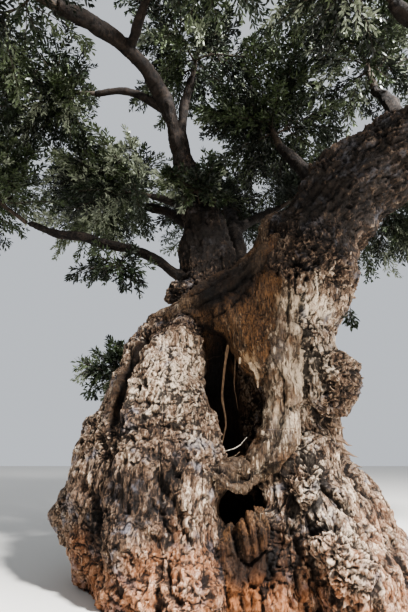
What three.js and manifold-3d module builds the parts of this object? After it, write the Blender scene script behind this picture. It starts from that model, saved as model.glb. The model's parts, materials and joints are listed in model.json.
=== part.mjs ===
import * as THREE from 'three';
import { mergeVertices } from 'three/addons/utils/BufferGeometryUtils.js';
import Module from 'manifold-3d';

// A very old olive tree: a hollow trunk of grown-together strands, two great limbs, boughs and an open crown.
// Millimetres, +Z up, ground level at z = 0. The side with the hollow faces -Y.

const wasm = await Module();
wasm.setup();

// Trunk
const trunkCell = 154; // edge of a cell of the grid on which the trunk's skin is drawn
const gridLow = [-1800, -1350, -450]; // corners of that grid
const gridHigh = [3500, 1500, 5300];
const cornerFill = 0.02; // how deep a grid corner that must be solid is filled, in cells
const strandBlend = 100; // how softly the strands of the trunk run into each other
const hollowBlend = 60; // how softly the hollows' lips are rounded
const footDepth = -150; // the strands start this far under the ground and are cut flat at it
const jointGap = 0.4; // clearance between two pieces of wood that meet
const leastSlant = 0.4; // limits how far a sharp corner of a grown skin is pushed out

// Boughs
const boughSides = 7;
const boughStep = 400; // length of bough from one ring of corners to the next
const boughStepsLeast = 3;
const chainSteps = 6; // stretches in the chain of balls that stands for a bough

// Leaves of the solids, each of which stands for a spray of real ones
const leafLength = 930;
const leafWidth = 380;
const leafThickness = 50;
const leafWaist = 0.45; // where along its length a leaf is widest
const twigRadius = 26;
const twigTipRadius = 15;
const stemRadius = 42;
const leafPlaces = [0.45, 0.72, 0.97]; // along its twig
const leafSpread = [1.1, 0.9, 0.25]; // how far each leaf leans out from its twig
const leafSizes = [1, 0.8, 0.62]; // the biggest that fits is used
const leafAttempts = 6;
const leafRoom = 0.55; // clearance to other leaves, in leaf widths
const leafChecks = [0.4, 0.7, 1]; // places along a leaf where that clearance is measured
const leafHalfWidth = 0.3; // share of its width that a leaf keeps free on each side
const leafOutwardPull = 0.35;
const stemOvershoot = 0.35; // how far the stem goes on past the centre of its mass
const stemSunk = 20; // how far a stem's root starts inside its bough
const twigReachLow = 0.3; // how far out in its mass a twig ends
const twigReachHigh = 0.5;
const twigTurnJitter = 0.8;
const twigForward = 0.3; // a twig leaves the stem this far before the place nearest to its end
const twigFirst = 0.25; // first and last place on the stem where a twig leaves
const twigLast = 0.95;
const usualSprays = 24;
const firstSeed = 100;
const segmentChecks = 5; // points at which a twig or leaf is tested
const twigTestFrom = 0.3; // the part of a twig or leaf nearer to its root isn't tested
const leafTestFrom = 0.25;
const spaceMargin = 0.04; // share of a mass's reach that it leaves free towards its neighbours
const limbMargin = 45; // a twig or leaf nearer to a limb than this is skipped
const goldenAngle = Math.PI * (3 - Math.sqrt(5));

const barkColour = 0x8a7a6b;
const boughColour = 0x5b5046;
const leafColour = 0x56633d;

// Each strand is a chain of balls [x, y, z, radius] joined by tapering stretches.
const trunkStrands = {
  leftMass: [[-400, 150, footDepth, 430], [-520, 90, 230, 560], [-600, 60, 520, 640], [-560, 10, 1050, 580],
    [-450, 0, 1600, 440], [-390, 30, 2120, 290]],
  leftBulge: [[-1080, 170, 560, 360], [-900, 150, 480, 320]],
  leftInner: [[-110, -380, footDepth, 280], [-160, -440, 600, 330], [-180, -430, 1050, 330],
    [-230, -340, 1600, 260], [-230, -200, 2150, 210]],
  leftFrontRib: [[-520, -560, footDepth, 240], [-540, -600, 500, 250], [-520, -490, 1250, 240],
    [-430, -330, 1900, 220]],
  leftOuterRib: [[-560, -260, footDepth, 200], [-880, -250, 650, 270], [-820, -170, 1250, 230],
    [-660, -60, 1850, 180]],
  leftShoulder: [[-590, 60, 2050, 200], [-330, 60, 2270, 190]],
  leftToe: [[-400, -700, 40, 220], [-440, -500, 300, 230]],
  middleToe: [[-110, -740, 60, 240], [-150, -500, 350, 260]],
  straySpur: [[-640, -660, footDepth, 150], [-500, -450, 60, 170]],
  rightColumn: [[1000, 40, footDepth, 500], [980, 0, 900, 410], [950, -60, 1500, 350],
    [950, -90, 2300, 410], [1080, -100, 2800, 470]],
  sideFlare: [[1050, 120, 1150, 230], [1320, 120, 450, 330], [1430, 120, footDepth, 440]],
  frontFlare: [[960, -330, 1000, 240], [1080, -580, 350, 300], [1180, -740, footDepth, 320]],
  middleFlare: [[1220, -240, 800, 240], [1540, -420, footDepth, 320]],
  innerLeg: [[700, -400, 950, 200], [640, -540, 350, 220], [620, -590, footDepth, 240]],
  hollowRim: [[840, -380, 2650, 120], [740, -460, 2100, 120], [690, -520, 1600, 130],
    [600, -560, 1150, 130], [420, -590, 930, 110], [130, -570, 870, 110]],
  sideBurl: [[1210, -260, 1780, 260], [1130, -200, 1850, 240]],
  upperBurl: [[1060, -500, 3050, 160], [1100, -400, 3100, 160]],
  rearRight: [[900, 560, footDepth, 520], [850, 500, 900, 420], [820, 330, 2100, 360]],
  rearMiddle: [[150, 650, footDepth, 620], [150, 600, 900, 520], [120, 520, 2000, 430],
    [90, 500, 2900, 360]],
  rearLeft: [[-560, 600, footDepth, 470], [-500, 520, 900, 420], [-350, 420, 1900, 320]],
  saddle: [[-150, -40, 2480, 190], [300, -150, 2520, 230], [760, -180, 2700, 260]],
  smoothPanel: [[360, -220, 2420, 230], [520, -370, 1980, 190]],
  innerWall: [[60, 200, 2300, 260], [120, 260, 1400, 230]],
  saddleRidge: [[-450, 10, 2420, 110], [-60, -150, 2650, 115], [380, -130, 2870, 120],
    [640, -60, 3220, 120], [820, -20, 3600, 110]],
  saddleBurl: [[-280, 250, 2850, 175], [-150, 330, 2800, 180]],
  saddleFill: [[300, 250, 2450, 330], [500, 150, 2650, 300]],
  middleFoot: [[150, 120, footDepth, 520], [200, 20, 350, 330]],
  brokenWood: [[350, -360, footDepth, 260], [350, -330, 330, 180]],
};
const rightLimb = [[1080, -100, 2800, 470], [1250, -110, 3300, 500], [1600, -190, 3850, 500],
  [2000, -340, 4150, 480], [2500, -520, 4330, 430], [3000, -640, 4620, 330]];
const leader = [[90, 500, 2900, 350], [90, 540, 3400, 305], [0, 640, 4100, 250],
  [-200, 600, 4750, 165], [-290, 530, 4960, 130]];

// Hollows are cut out of the strands in the same way.
const trunkHollows = {
  mouth: [[290, -780, 1170, 205], [280, -740, 1450, 205], [190, -680, 1760, 120], [90, -580, 2150, 75],
    [20, -430, 2600, 45]],
  chamber: [[250, -200, 1180, 300], [240, -160, 1550, 270], [170, -160, 1900, 150]],
  lowerHole: [[290, -780, 660, 130], [290, -250, 620, 200]],
  legRecess: [[290, -860, footDepth, 150], [290, -800, 480, 110]],
  leftGroove: [[-800, -500, 1430, 85], [-640, -370, 2060, 80]],
};

// The trunk ends in two flat cuts, above which the right limb and the leader stand.
const limbCut = { centre: [1250, -110, 3230], direction: [0.45, -0.05, 0.89], halfWidth: 1000, reach: 4000 };
const leaderCut = { centre: [85, 540, 3270], direction: [-0.02, 0.12, 1], halfWidth: 440, reach: 3000 };

// Boughs: each is one tapering limb that leaves its parent where its path begins.
const boughs = {
  left_arch_bough: { radii: [118, 88],
    path: [[-300, 520, 4930], [-560, 130, 5700], [-950, -420, 5900], [-1300, -820, 5830],
      [-1640, -1080, 5740]] },
  left_side_bough: { radii: [62, 40],
    path: [[-510, 220, 5560], [-1050, 160, 5850], [-1560, 200, 5860]] },
  left_low_bough: { radii: [68, 38],
    path: [[-120, 400, 2960], [-560, 420, 3330], [-940, 400, 3510], [-1780, 300, 3640], [-2250, 240, 3800]] },
  left_inner_bough: { radii: [60, 42],
    path: [[0, 650, 4150], [-500, 760, 4450], [-760, 800, 4560]] },
  top_bough: { radii: [100, 58],
    path: [[-240, 570, 4850], [-330, 620, 5500], [-280, 560, 6120], [-180, 500, 6500]] },
  front_bough: { radii: [66, 44],
    path: [[-950, -420, 5900], [-640, -1000, 6080], [-260, -1480, 6100]] },
  centre_bough: { radii: [110, 70],
    path: [[1500, -150, 3900], [1180, 200, 4700], [1050, 300, 5000]] },
  right_middle_bough: { radii: [95, 60],
    path: [[2620, -700, 4560], [2380, -1060, 5150], [2000, -1250, 5560]] },
  back_bough: { radii: [130, 80],
    path: [[520, 330, 2900], [460, 760, 3700], [440, 1300, 4500], [420, 1750, 4900]] },
  back_left_bough: { radii: [95, 55],
    path: [[60, 620, 3700], [-500, 1150, 4500], [-1150, 1650, 5000]] },
  back_right_bough: { radii: [84, 55],
    path: [[450, 1050, 4150], [950, 1700, 4800], [1350, 2050, 5200]] },
  right_back_bough: { radii: [130, 75],
    path: [[2050, -250, 4250], [2400, 500, 4650], [2750, 1250, 4850]] },
  right_top_bough: { radii: [120, 70],
    path: [[2300, -450, 4500], [2350, -250, 5200], [2300, -50, 5650]] },
  right_front_bough: { radii: [125, 70],
    path: [[2700, -600, 4480], [2900, -1250, 4850], [2950, -1650, 5000]] },
  right_outer_bough: { radii: [170, 85],
    path: [[2980, -640, 4620], [3300, -650, 4950], [3560, -600, 5200]] },
};

// Masses of foliage: an egg-shaped space round its centre, and the limb that its stem grows from.
const masses = {
  left_front_foliage: { parent: 'left_arch_bough', centre: [-2300, -1500, 5550], radii: [1350, 1300, 1000] },
  left_upper_foliage: { parent: 'left_side_bough', centre: [-2450, 450, 6000], radii: [1350, 1250, 1000] },
  left_low_foliage: { parent: 'left_low_bough', centre: [-3000, 200, 4250], radii: [1250, 1200, 850] },
  left_inner_foliage: { parent: 'left_inner_bough', centre: [-1350, 900, 4700], radii: [950, 950, 750] },
  left_hanging_foliage: { parent: 'left_low_bough', at: 0.42, centre: [-1050, 330, 3200],
    radii: [560, 460, 380], sprays: 9, scale: 0.45 },
  left_sucker_foliage: { parent: 'trunk', root: [-650, 700, 1600], centre: [-1150, 900, 2050],
    radii: [450, 400, 420], sprays: 9, scale: 0.42 },
  leader_shoots: { parent: 'leader', root: [-20, 600, 4080], centre: [-120, 180, 4330],
    radii: [500, 400, 460], sprays: 9, scale: 0.42 },
  top_foliage: { parent: 'top_bough', centre: [-80, 450, 7000], radii: [1500, 1450, 900] },
  front_foliage: { parent: 'front_bough', centre: [200, -2100, 6000], radii: [1400, 1300, 950] },
  centre_foliage: { parent: 'centre_bough', centre: [950, 380, 5600], radii: [1100, 1050, 950] },
  right_middle_foliage: { parent: 'right_middle_bough', centre: [1550, -1400, 5950], radii: [1050, 950, 850] },
  back_foliage: { parent: 'back_bough', centre: [250, 2500, 5500], radii: [1350, 1300, 1050] },
  back_left_foliage: { parent: 'back_left_bough', centre: [-2000, 2150, 5350], radii: [1400, 1300, 1100] },
  back_right_foliage: { parent: 'back_right_bough', centre: [1950, 2650, 6000], radii: [1250, 1200, 950] },
  right_back_foliage: { parent: 'right_back_bough', centre: [3100, 1800, 4850], radii: [1300, 1250, 1000] },
  right_top_foliage: { parent: 'right_top_bough', centre: [2300, 150, 6550], radii: [1450, 1350, 1050] },
  right_front_foliage: { parent: 'right_front_bough', centre: [2900, -2450, 5250], radii: [1350, 1200, 950] },
  right_outer_foliage: { parent: 'right_outer_bough', centre: [4200, -400, 5550], radii: [1250, 1400, 1050] },
};

const vec = (p) => new THREE.Vector3(p[0], p[1], p[2]);

// Distance from a point to a chain of balls; negative inside it.
function chainDistance(chain, x, y, z) {
  let nearest = Infinity;
  for (let i = 0; i + 1 < chain.length; i += 1) {
    const [ax, ay, az, ar] = chain[i];
    const [bx, by, bz, br] = chain[i + 1];
    const ex = bx - ax;
    const ey = by - ay;
    const ez = bz - az;
    const along = ((x - ax) * ex + (y - ay) * ey + (z - az) * ez) / (ex * ex + ey * ey + ez * ez);
    const t = Math.min(1, Math.max(0, along));
    const distance = Math.hypot(x - ax - t * ex, y - ay - t * ey, z - az - t * ez) - ar - t * (br - ar);
    nearest = Math.min(nearest, distance);
  }
  return nearest;
}

function softMin(a, b, blend) {
  const h = Math.max(blend - Math.abs(a - b), 0) / blend;
  return Math.min(a, b) - h * h * blend * 0.25;
}

const strandList = [...Object.values(trunkStrands), rightLimb, leader];
const hollowList = Object.values(trunkHollows);

function woodDistance(x, y, z) {
  let distance = Infinity;
  for (const strand of strandList) distance = softMin(distance, chainDistance(strand, x, y, z), strandBlend);
  for (const hollow of hollowList) {
    distance = -softMin(-distance, chainDistance(hollow, x, y, z), hollowBlend);
  }
  return Math.max(distance, footDepth - z);
}

// Skin of a distance field: one vertex in each grid cell that the surface crosses.
function skin(field, low, high, cell) {
  const count = low.map((value, axis) => Math.ceil((high[axis] - value) / cell) + 1);
  const step = [1, count[0], count[0] * count[1]];
  const values = new Float64Array(count[0] * count[1] * count[2]);
  for (let k = 0; k < count[2]; k += 1) {
    for (let j = 0; j < count[1]; j += 1) {
      for (let i = 0; i < count[0]; i += 1) {
        const index = i + j * step[1] + k * step[2];
        values[index] = field(low[0] + i * cell, low[1] + j * cell, low[2] + k * cell);
      }
    }
  }
  thickenCorners(values, count, step, cell);
  const cellVertex = new Map();
  const positions = [];
  const corners = [];
  for (let c = 0; c < 8; c += 1) corners.push([c & 1, (c >> 1) & 1, c >> 2]);
  for (let k = 0; k + 1 < count[2]; k += 1) {
    for (let j = 0; j + 1 < count[1]; j += 1) {
      for (let i = 0; i + 1 < count[0]; i += 1) {
        const base = i + j * step[1] + k * step[2];
        const sum = [0, 0, 0];
        let crossings = 0;
        for (let a = 0; a < 8; a += 1) {
          for (let axis = 0; axis < 3; axis += 1) {
            if (corners[a][axis]) continue;
            const from = base + corners[a][0] * step[0] + corners[a][1] * step[1] + corners[a][2] * step[2];
            const to = from + step[axis];
            if (values[from] < 0 === values[to] < 0) continue;
            const t = values[from] / (values[from] - values[to]);
            for (let n = 0; n < 3; n += 1) sum[n] += corners[a][n] + (n === axis ? t : 0);
            crossings += 1;
          }
        }
        if (!crossings) continue;
        cellVertex.set(base, positions.length / 3);
        positions.push(low[0] + (i + sum[0] / crossings) * cell, low[1] + (j + sum[1] / crossings) * cell,
          low[2] + (k + sum[2] / crossings) * cell);
      }
    }
  }
  const triangles = [];
  const far = (a, b) => Math.hypot(positions[a * 3] - positions[b * 3],
    positions[a * 3 + 1] - positions[b * 3 + 1], positions[a * 3 + 2] - positions[b * 3 + 2]);
  for (let k = 1; k + 1 < count[2]; k += 1) {
    for (let j = 1; j + 1 < count[1]; j += 1) {
      for (let i = 1; i + 1 < count[0]; i += 1) {
        const here = i + j * step[1] + k * step[2];
        for (let axis = 0; axis < 3; axis += 1) {
          const inside = values[here] < 0;
          if (inside === values[here + step[axis]] < 0) continue;
          const u = step[(axis + 1) % 3];
          const v = step[(axis + 2) % 3];
          let quad = [here - u - v, here - v, here, here - u].map((cellIndex) => cellVertex.get(cellIndex));
          if (!inside) quad = quad.reverse();
          const [a, b, c, d] = quad;
          if (far(a, c) < far(b, d)) triangles.push(a, b, c, a, c, d);
          else triangles.push(a, b, d, b, c, d);
        }
      }
    }
  }
  return { positions: Float32Array.from(positions), triangles: Uint32Array.from(triangles) };
}

// Where two inside corners of a grid square touch only across its diagonal, one more corner is filled,
// so that the skin never pinches to a line or a point.
function thickenCorners(values, count, step, cell) {
  const fill = -cornerFill * cell;
  let changed = true;
  while (changed) {
    changed = false;
    for (let k = 0; k + 1 < count[2]; k += 1) {
      for (let j = 0; j + 1 < count[1]; j += 1) {
        for (let i = 0; i + 1 < count[0]; i += 1) {
          const base = i + j * step[1] + k * step[2];
          for (let axis = 0; axis < 3; axis += 1) {
            const u = step[(axis + 1) % 3];
            const v = step[(axis + 2) % 3];
            const square = [base, base + u, base + u + v, base + v];
            const inside = square.map((index) => values[index] < 0);
            if (inside[0] !== inside[2] || inside[1] !== inside[3] || inside[0] === inside[1]) continue;
            const empty = inside[0] ? [square[1], square[3]] : [square[0], square[2]];
            values[values[empty[0]] < values[empty[1]] ? empty[0] : empty[1]] = fill;
            changed = true;
          }
          const cube = [base, base + step[0], base + step[1], base + step[0] + step[1]];
          const all = [...cube, ...cube.map((index) => index + step[2])];
          for (let a = 0; a < 4; a += 1) {
            const pair = [a, 7 - a];
            const filled = all.filter((index) => values[index] < 0).length;
            const pairInside = pair.map((corner) => values[all[corner]] < 0);
            if (filled === 2 && pairInside[0] && pairInside[1]) {
              values[all[a ^ 1]] = fill;
              changed = true;
            }
            if (filled === 6 && !pairInside[0] && !pairInside[1]) {
              values[all[a]] = fill;
              changed = true;
            }
          }
        }
      }
    }
  }
}

function solidFromMesh(positions, triangles) {
  return new wasm.Manifold(new wasm.Mesh({ numProp: 3, vertProperties: positions, triVerts: triangles }));
}

function solidFromGeometry(source) {
  const geometry = source.index ? source.clone() : source;
  geometry.deleteAttribute('normal');
  geometry.deleteAttribute('uv');
  const merged = mergeVertices(geometry, 1e-4);
  const positions = Float32Array.from(merged.attributes.position.array);
  return solidFromMesh(positions, Uint32Array.from(merged.index.array));
}

function geometryFromSolid(solid) {
  const mesh = solid.getMesh();
  const geometry = new THREE.BufferGeometry();
  const positions = new Float32Array(mesh.numVert * 3);
  for (let i = 0; i < mesh.numVert; i += 1) {
    for (let n = 0; n < 3; n += 1) positions[i * 3 + n] = mesh.vertProperties[i * mesh.numProp + n];
  }
  geometry.setAttribute('position', new THREE.BufferAttribute(positions, 3));
  geometry.setIndex(new THREE.BufferAttribute(Uint32Array.from(mesh.triVerts), 1));
  geometry.computeVertexNormals();
  return geometry;
}

// The biggest body of a solid, without the scraps that a cut leaves.
function mainBody(solid) {
  return solid.decompose().reduce((best, body) => (body.volume() > best.volume() ? body : best));
}

// A block that starts at a plane, or a little beyond it, and reaches away from it.
function blockBeyond({ centre, direction, halfWidth, reach }, beyond = 0) {
  const axis = vec(direction).normalize();
  const block = new THREE.BoxGeometry(halfWidth * 2, halfWidth * 2, reach);
  const turn = new THREE.Quaternion().setFromUnitVectors(new THREE.Vector3(0, 0, 1), axis);
  const place = vec(centre).addScaledVector(axis, reach / 2 + beyond);
  block.applyMatrix4(new THREE.Matrix4().compose(place, turn, new THREE.Vector3(1, 1, 1)));
  return solidFromGeometry(block);
}

function ringPoints(centre, tangent, side, radius, sides, phase) {
  const other = new THREE.Vector3().crossVectors(tangent, side);
  const points = [];
  for (let i = 0; i < sides; i += 1) {
    const angle = phase + (i / sides) * Math.PI * 2;
    points.push(centre.clone().addScaledVector(side, Math.cos(angle) * radius)
      .addScaledVector(other, Math.sin(angle) * radius));
  }
  return points;
}

// A closed tube through the rings, with flat ends.
function tubeFromRings(rings) {
  const sides = rings[0].length;
  const positions = [];
  const triangles = [];
  for (const ring of rings) for (const point of ring) positions.push(point.x, point.y, point.z);
  for (let r = 0; r + 1 < rings.length; r += 1) {
    for (let i = 0; i < sides; i += 1) {
      const a = r * sides + i;
      const b = r * sides + ((i + 1) % sides);
      triangles.push(a, b, b + sides, a, b + sides, a + sides);
    }
  }
  const last = (rings.length - 1) * sides;
  for (let i = 1; i + 1 < sides; i += 1) {
    triangles.push(0, i + 1, i);
    triangles.push(last, last + i, last + i + 1);
  }
  return solidFromMesh(Float32Array.from(positions), Uint32Array.from(triangles));
}

function sideOf(tangent) {
  const helper = Math.abs(tangent.z) > 0.9 ? new THREE.Vector3(1, 0, 0) : new THREE.Vector3(0, 0, 1);
  return new THREE.Vector3().crossVectors(helper, tangent).normalize();
}

function boughCurve({ path }) {
  return new THREE.CatmullRomCurve3(path.map(vec), false, 'centripetal');
}

function boughSolid({ path, radii }, clearance = 0) {
  const curve = boughCurve({ path });
  const steps = Math.max(boughStepsLeast, Math.round(curve.getLength() / boughStep));
  const rings = [];
  let side = null;
  for (let s = 0; s <= steps; s += 1) {
    const t = s / steps;
    const tangent = curve.getTangentAt(t);
    side = side ? side.addScaledVector(tangent, -side.dot(tangent)).normalize() : sideOf(tangent);
    const radius = radii[0] + (radii[1] - radii[0]) * t + clearance;
    const end = s === 0 ? -clearance : s === steps ? clearance : 0;
    const centre = curve.getPointAt(t).addScaledVector(tangent, end);
    rings.push(ringPoints(centre, tangent, side, radius, boughSides, 0));
  }
  return tubeFromRings(rings);
}

function boughChain({ path, radii }) {
  const curve = boughCurve({ path });
  const chain = [];
  for (let s = 0; s <= chainSteps; s += 1) {
    const t = s / chainSteps;
    const point = curve.getPointAt(t);
    chain.push([point.x, point.y, point.z, radii[0] + (radii[1] - radii[0]) * t]);
  }
  return chain;
}

// The same skin, pushed out all round by the clearance that a neighbour keeps to it.
function grownSkin({ positions, triangles }, clearance) {
  const count = positions.length / 3;
  const corner = (t, n) => new THREE.Vector3().fromArray(positions, triangles[t * 3 + n] * 3);
  const outward = Array.from({ length: count }, () => new THREE.Vector3());
  const faces = [];
  for (let t = 0; t < triangles.length / 3; t += 1) {
    const a = corner(t, 0);
    const face = corner(t, 1).sub(a).cross(corner(t, 2).sub(a));
    for (let n = 0; n < 3; n += 1) outward[triangles[t * 3 + n]].add(face);
    faces.push(face.normalize());
  }
  outward.forEach((normal) => normal.normalize());
  const slant = new Float64Array(count).fill(1);
  faces.forEach((face, t) => {
    for (let n = 0; n < 3; n += 1) {
      const vertex = triangles[t * 3 + n];
      slant[vertex] = Math.min(slant[vertex], Math.max(leastSlant, face.dot(outward[vertex])));
    }
  });
  const pushed = positions.map((value, i) => {
    const vertex = Math.floor(i / 3);
    return value + (outward[vertex].getComponent(i % 3) * clearance) / slant[vertex];
  });
  return solidFromMesh(pushed, triangles);
}

// A new piece loses what the grown neighbours fill.
function clearOf(piece, neighbours) {
  return mainBody(neighbours.reduce((rest, neighbour) => rest.subtract(neighbour), piece));
}

function seededRandom(seed) {
  let state = seed >>> 0;
  return () => {
    state = (state + 0x6d2b79f5) >>> 0;
    let t = state;
    t = Math.imul(t ^ (t >>> 15), t | 1);
    t ^= t + Math.imul(t ^ (t >>> 7), t | 61);
    return ((t ^ (t >>> 14)) >>> 0) / 4294967296;
  };
}

// How deep a point lies in a mass's space: 0 at its centre, 1 at its edge.
function depthIn(mass, point) {
  return Math.hypot((point.x - mass.centre[0]) / mass.radii[0], (point.y - mass.centre[1]) / mass.radii[1],
    (point.z - mass.centre[2]) / mass.radii[2]);
}

function ownsPoint(mass, point) {
  const depth = depthIn(mass, point);
  if (depth > 1) return false;
  return Object.values(masses).every((other) => (
    other === mass || depthIn(other, point) > depth + spaceMargin));
}

function clearOfLimbs(point, radius) {
  return Object.values(limbChains).every((chain) => (
    chainDistance(chain, point.x, point.y, point.z) > radius + limbMargin));
}

function segmentFits(mass, from, to, radius, start) {
  for (let i = 0; i <= segmentChecks; i += 1) {
    const t = start + ((1 - start) * i) / segmentChecks;
    const point = from.clone().lerp(to, t);
    if (!ownsPoint(mass, point) || !clearOfLimbs(point, radius)) return false;
  }
  return true;
}

function twigSolid(from, to, startRadius, endRadius) {
  const tangent = to.clone().sub(from).normalize();
  const side = sideOf(tangent);
  return tubeFromRings([
    ringPoints(from, tangent, side, startRadius, 3, 0),
    ringPoints(to, tangent, side, endRadius, 3, 0),
  ]);
}

// A leaf has a point at each end, two edges, a flat face and a keel under it.
function leafSolid(root, direction, upward, scale) {
  const flat = new THREE.Vector3().crossVectors(direction, upward).normalize();
  const normal = new THREE.Vector3().crossVectors(flat, direction).normalize();
  const waist = root.clone().addScaledVector(direction, leafLength * leafWaist * scale);
  const tip = root.clone().addScaledVector(direction, leafLength * scale);
  const corners = [
    waist.clone().addScaledVector(flat, (leafWidth / 2) * scale),
    waist.clone().addScaledVector(flat, (-leafWidth / 2) * scale),
    waist.clone().addScaledVector(normal, -leafThickness * scale),
  ];
  const positions = [root, ...corners, tip].flatMap((point) => [point.x, point.y, point.z]);
  const last = corners.length + 1;
  const triangles = [];
  for (let i = 0; i < corners.length; i += 1) {
    const a = 1 + i;
    const b = 1 + ((i + 1) % corners.length);
    triangles.push(0, a, b, last, b, a);
  }
  return solidFromMesh(Float32Array.from(positions), Uint32Array.from(triangles));
}

// Whether a new leaf would run into one that the mass already has.
function crowded(from, to, leaves, gap) {
  const near = new THREE.Vector3();
  return leaves.some(({ place, tip }) => {
    const other = new THREE.Line3(place, tip);
    return leafChecks.some((share) => {
      const point = from.clone().lerp(to, share);
      return other.closestPointToPoint(point, true, near).distanceTo(point) < gap;
    });
  });
}

// Twigs leave the stem for points spread evenly through the space. Each bears side leaves and an end leaf,
// which try a few directions and sizes and are left out where none has room.
function growMass(mass, root, seed) {
  const random = seededRandom(seed);
  const scale = mass.scale ?? 1;
  const twigCount = Math.round((mass.sprays ?? usualSprays) / leafPlaces.length);
  const centre = vec(mass.centre);
  const stemEnd = centre.clone().addScaledVector(centre.clone().sub(root), stemOvershoot);
  const stemAxis = stemEnd.clone().sub(root);
  const twigs = [];
  const leaves = [];
  for (let k = 0; k < twigCount; k += 1) {
    const height = 1 - (2 * (k + 0.5)) / twigCount;
    const turn = k * goldenAngle + random() * twigTurnJitter;
    const around = Math.sqrt(1 - height * height);
    const outward = new THREE.Vector3(around * Math.cos(turn), around * Math.sin(turn), height);
    const twigReach = twigReachLow + (twigReachHigh - twigReachLow) * random();
    const target = centre.clone().add(outward.clone().multiply(vec(mass.radii)).multiplyScalar(twigReach));
    const along = target.clone().sub(root).dot(stemAxis) / stemAxis.lengthSq();
    const fork = Math.min(twigLast, Math.max(twigFirst, along - twigForward));
    const start = root.clone().addScaledVector(stemAxis, fork);
    if (!segmentFits(mass, start, target, twigTipRadius, twigTestFrom)) continue;
    const twigAxis = target.clone().sub(start).normalize();
    const side = sideOf(twigAxis);
    twigs.push({ start, target });
    for (let n = 0; n < leafPlaces.length; n += 1) {
      const place = start.clone().lerp(target, leafPlaces[n]);
      for (let attempt = 0; attempt < leafAttempts; attempt += 1) {
        const across = side.clone().applyAxisAngle(twigAxis, random() * Math.PI * 2);
        const upward = new THREE.Vector3(random() - 0.5, random() - 0.5, 1).normalize();
        const direction = twigAxis.clone().addScaledVector(across, leafSpread[n])
          .addScaledVector(outward, leafOutwardPull).normalize();
        const size = leafSizes.find((share) => {
          const tip = place.clone().addScaledVector(direction, leafLength * scale * share);
          return segmentFits(mass, place, tip, leafWidth * leafHalfWidth * scale * share, leafTestFrom)
            && !crowded(place, tip, leaves, leafWidth * leafRoom * scale * share);
        });
        if (!size) continue;
        const tip = place.clone().addScaledVector(direction, leafLength * scale * size);
        leaves.push({ place, tip, direction, upward, size: scale * size });
        break;
      }
    }
  }
  return { stemEnd, twigs, leaves, scale };
}

function massSolid(mass, root, seed) {
  const { stemEnd, twigs, leaves, scale } = growMass(mass, root, seed);
  const parts = [twigSolid(root, stemEnd, stemRadius * scale, twigRadius * scale)];
  for (const { start, target } of twigs) {
    parts.push(twigSolid(start, target, twigRadius * scale, twigTipRadius * scale));
  }
  for (const { place, direction, upward, size } of leaves) {
    parts.push(leafSolid(place, direction, upward, size));
  }
  return wasm.Manifold.union(parts);
}

const tree = new THREE.Group();

function addNode(name, solid, colour, roughness) {
  const mesh = new THREE.Mesh(geometryFromSolid(solid),
    new THREE.MeshStandardMaterial({ color: colour, roughness, metalness: 0, flatShading: true }));
  mesh.name = name;
  tree.add(mesh);
}

// Trunk, right limb and leader are one skin, cut flat at the ground and at the two forks.
const woodSkin = skin(woodDistance, gridLow, gridHigh, trunkCell);
const ground = blockBeyond({ centre: [0, 0, 0], direction: [0, 0, -1], halfWidth: 6000, reach: 2000 });
const wood = mainBody(solidFromMesh(woodSkin.positions, woodSkin.triangles).subtract(ground));
addNode('trunk', mainBody(wood.subtract(blockBeyond(limbCut, 0)).subtract(blockBeyond(leaderCut, 0))),
  barkColour, 0.9);
addNode('right_limb', mainBody(wood.intersect(blockBeyond(limbCut, jointGap))), barkColour, 0.9);
addNode('leader', mainBody(wood.intersect(blockBeyond(leaderCut, jointGap))), boughColour, 0.9);

const limbChains = { ...trunkStrands, rightLimb, leader };
const grownLimbs = { wood: grownSkin(woodSkin, jointGap) };

for (const [name, bough] of Object.entries(boughs)) {
  addNode(name, clearOf(boughSolid(bough), Object.values(grownLimbs)), boughColour, 0.85);
  limbChains[name] = boughChain(bough);
  grownLimbs[name] = boughSolid(bough, jointGap);
}

Object.entries(masses).forEach(([name, mass], index) => {
  let root = mass.root ? vec(mass.root) : boughCurve(boughs[mass.parent]).getPointAt(mass.at ?? 1);
  root = root.addScaledVector(vec(mass.centre).sub(root).normalize(), -stemSunk);
  const parent = grownLimbs[mass.parent] ?? grownLimbs.wood;
  addNode(name, clearOf(massSolid(mass, root, firstSeed + index), [parent]), leafColour, 0.6);
});

export default tree;
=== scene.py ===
import json
import math
import time

import bpy
import numpy as np
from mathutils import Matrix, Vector
from mathutils.bvhtree import BVHTree

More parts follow.
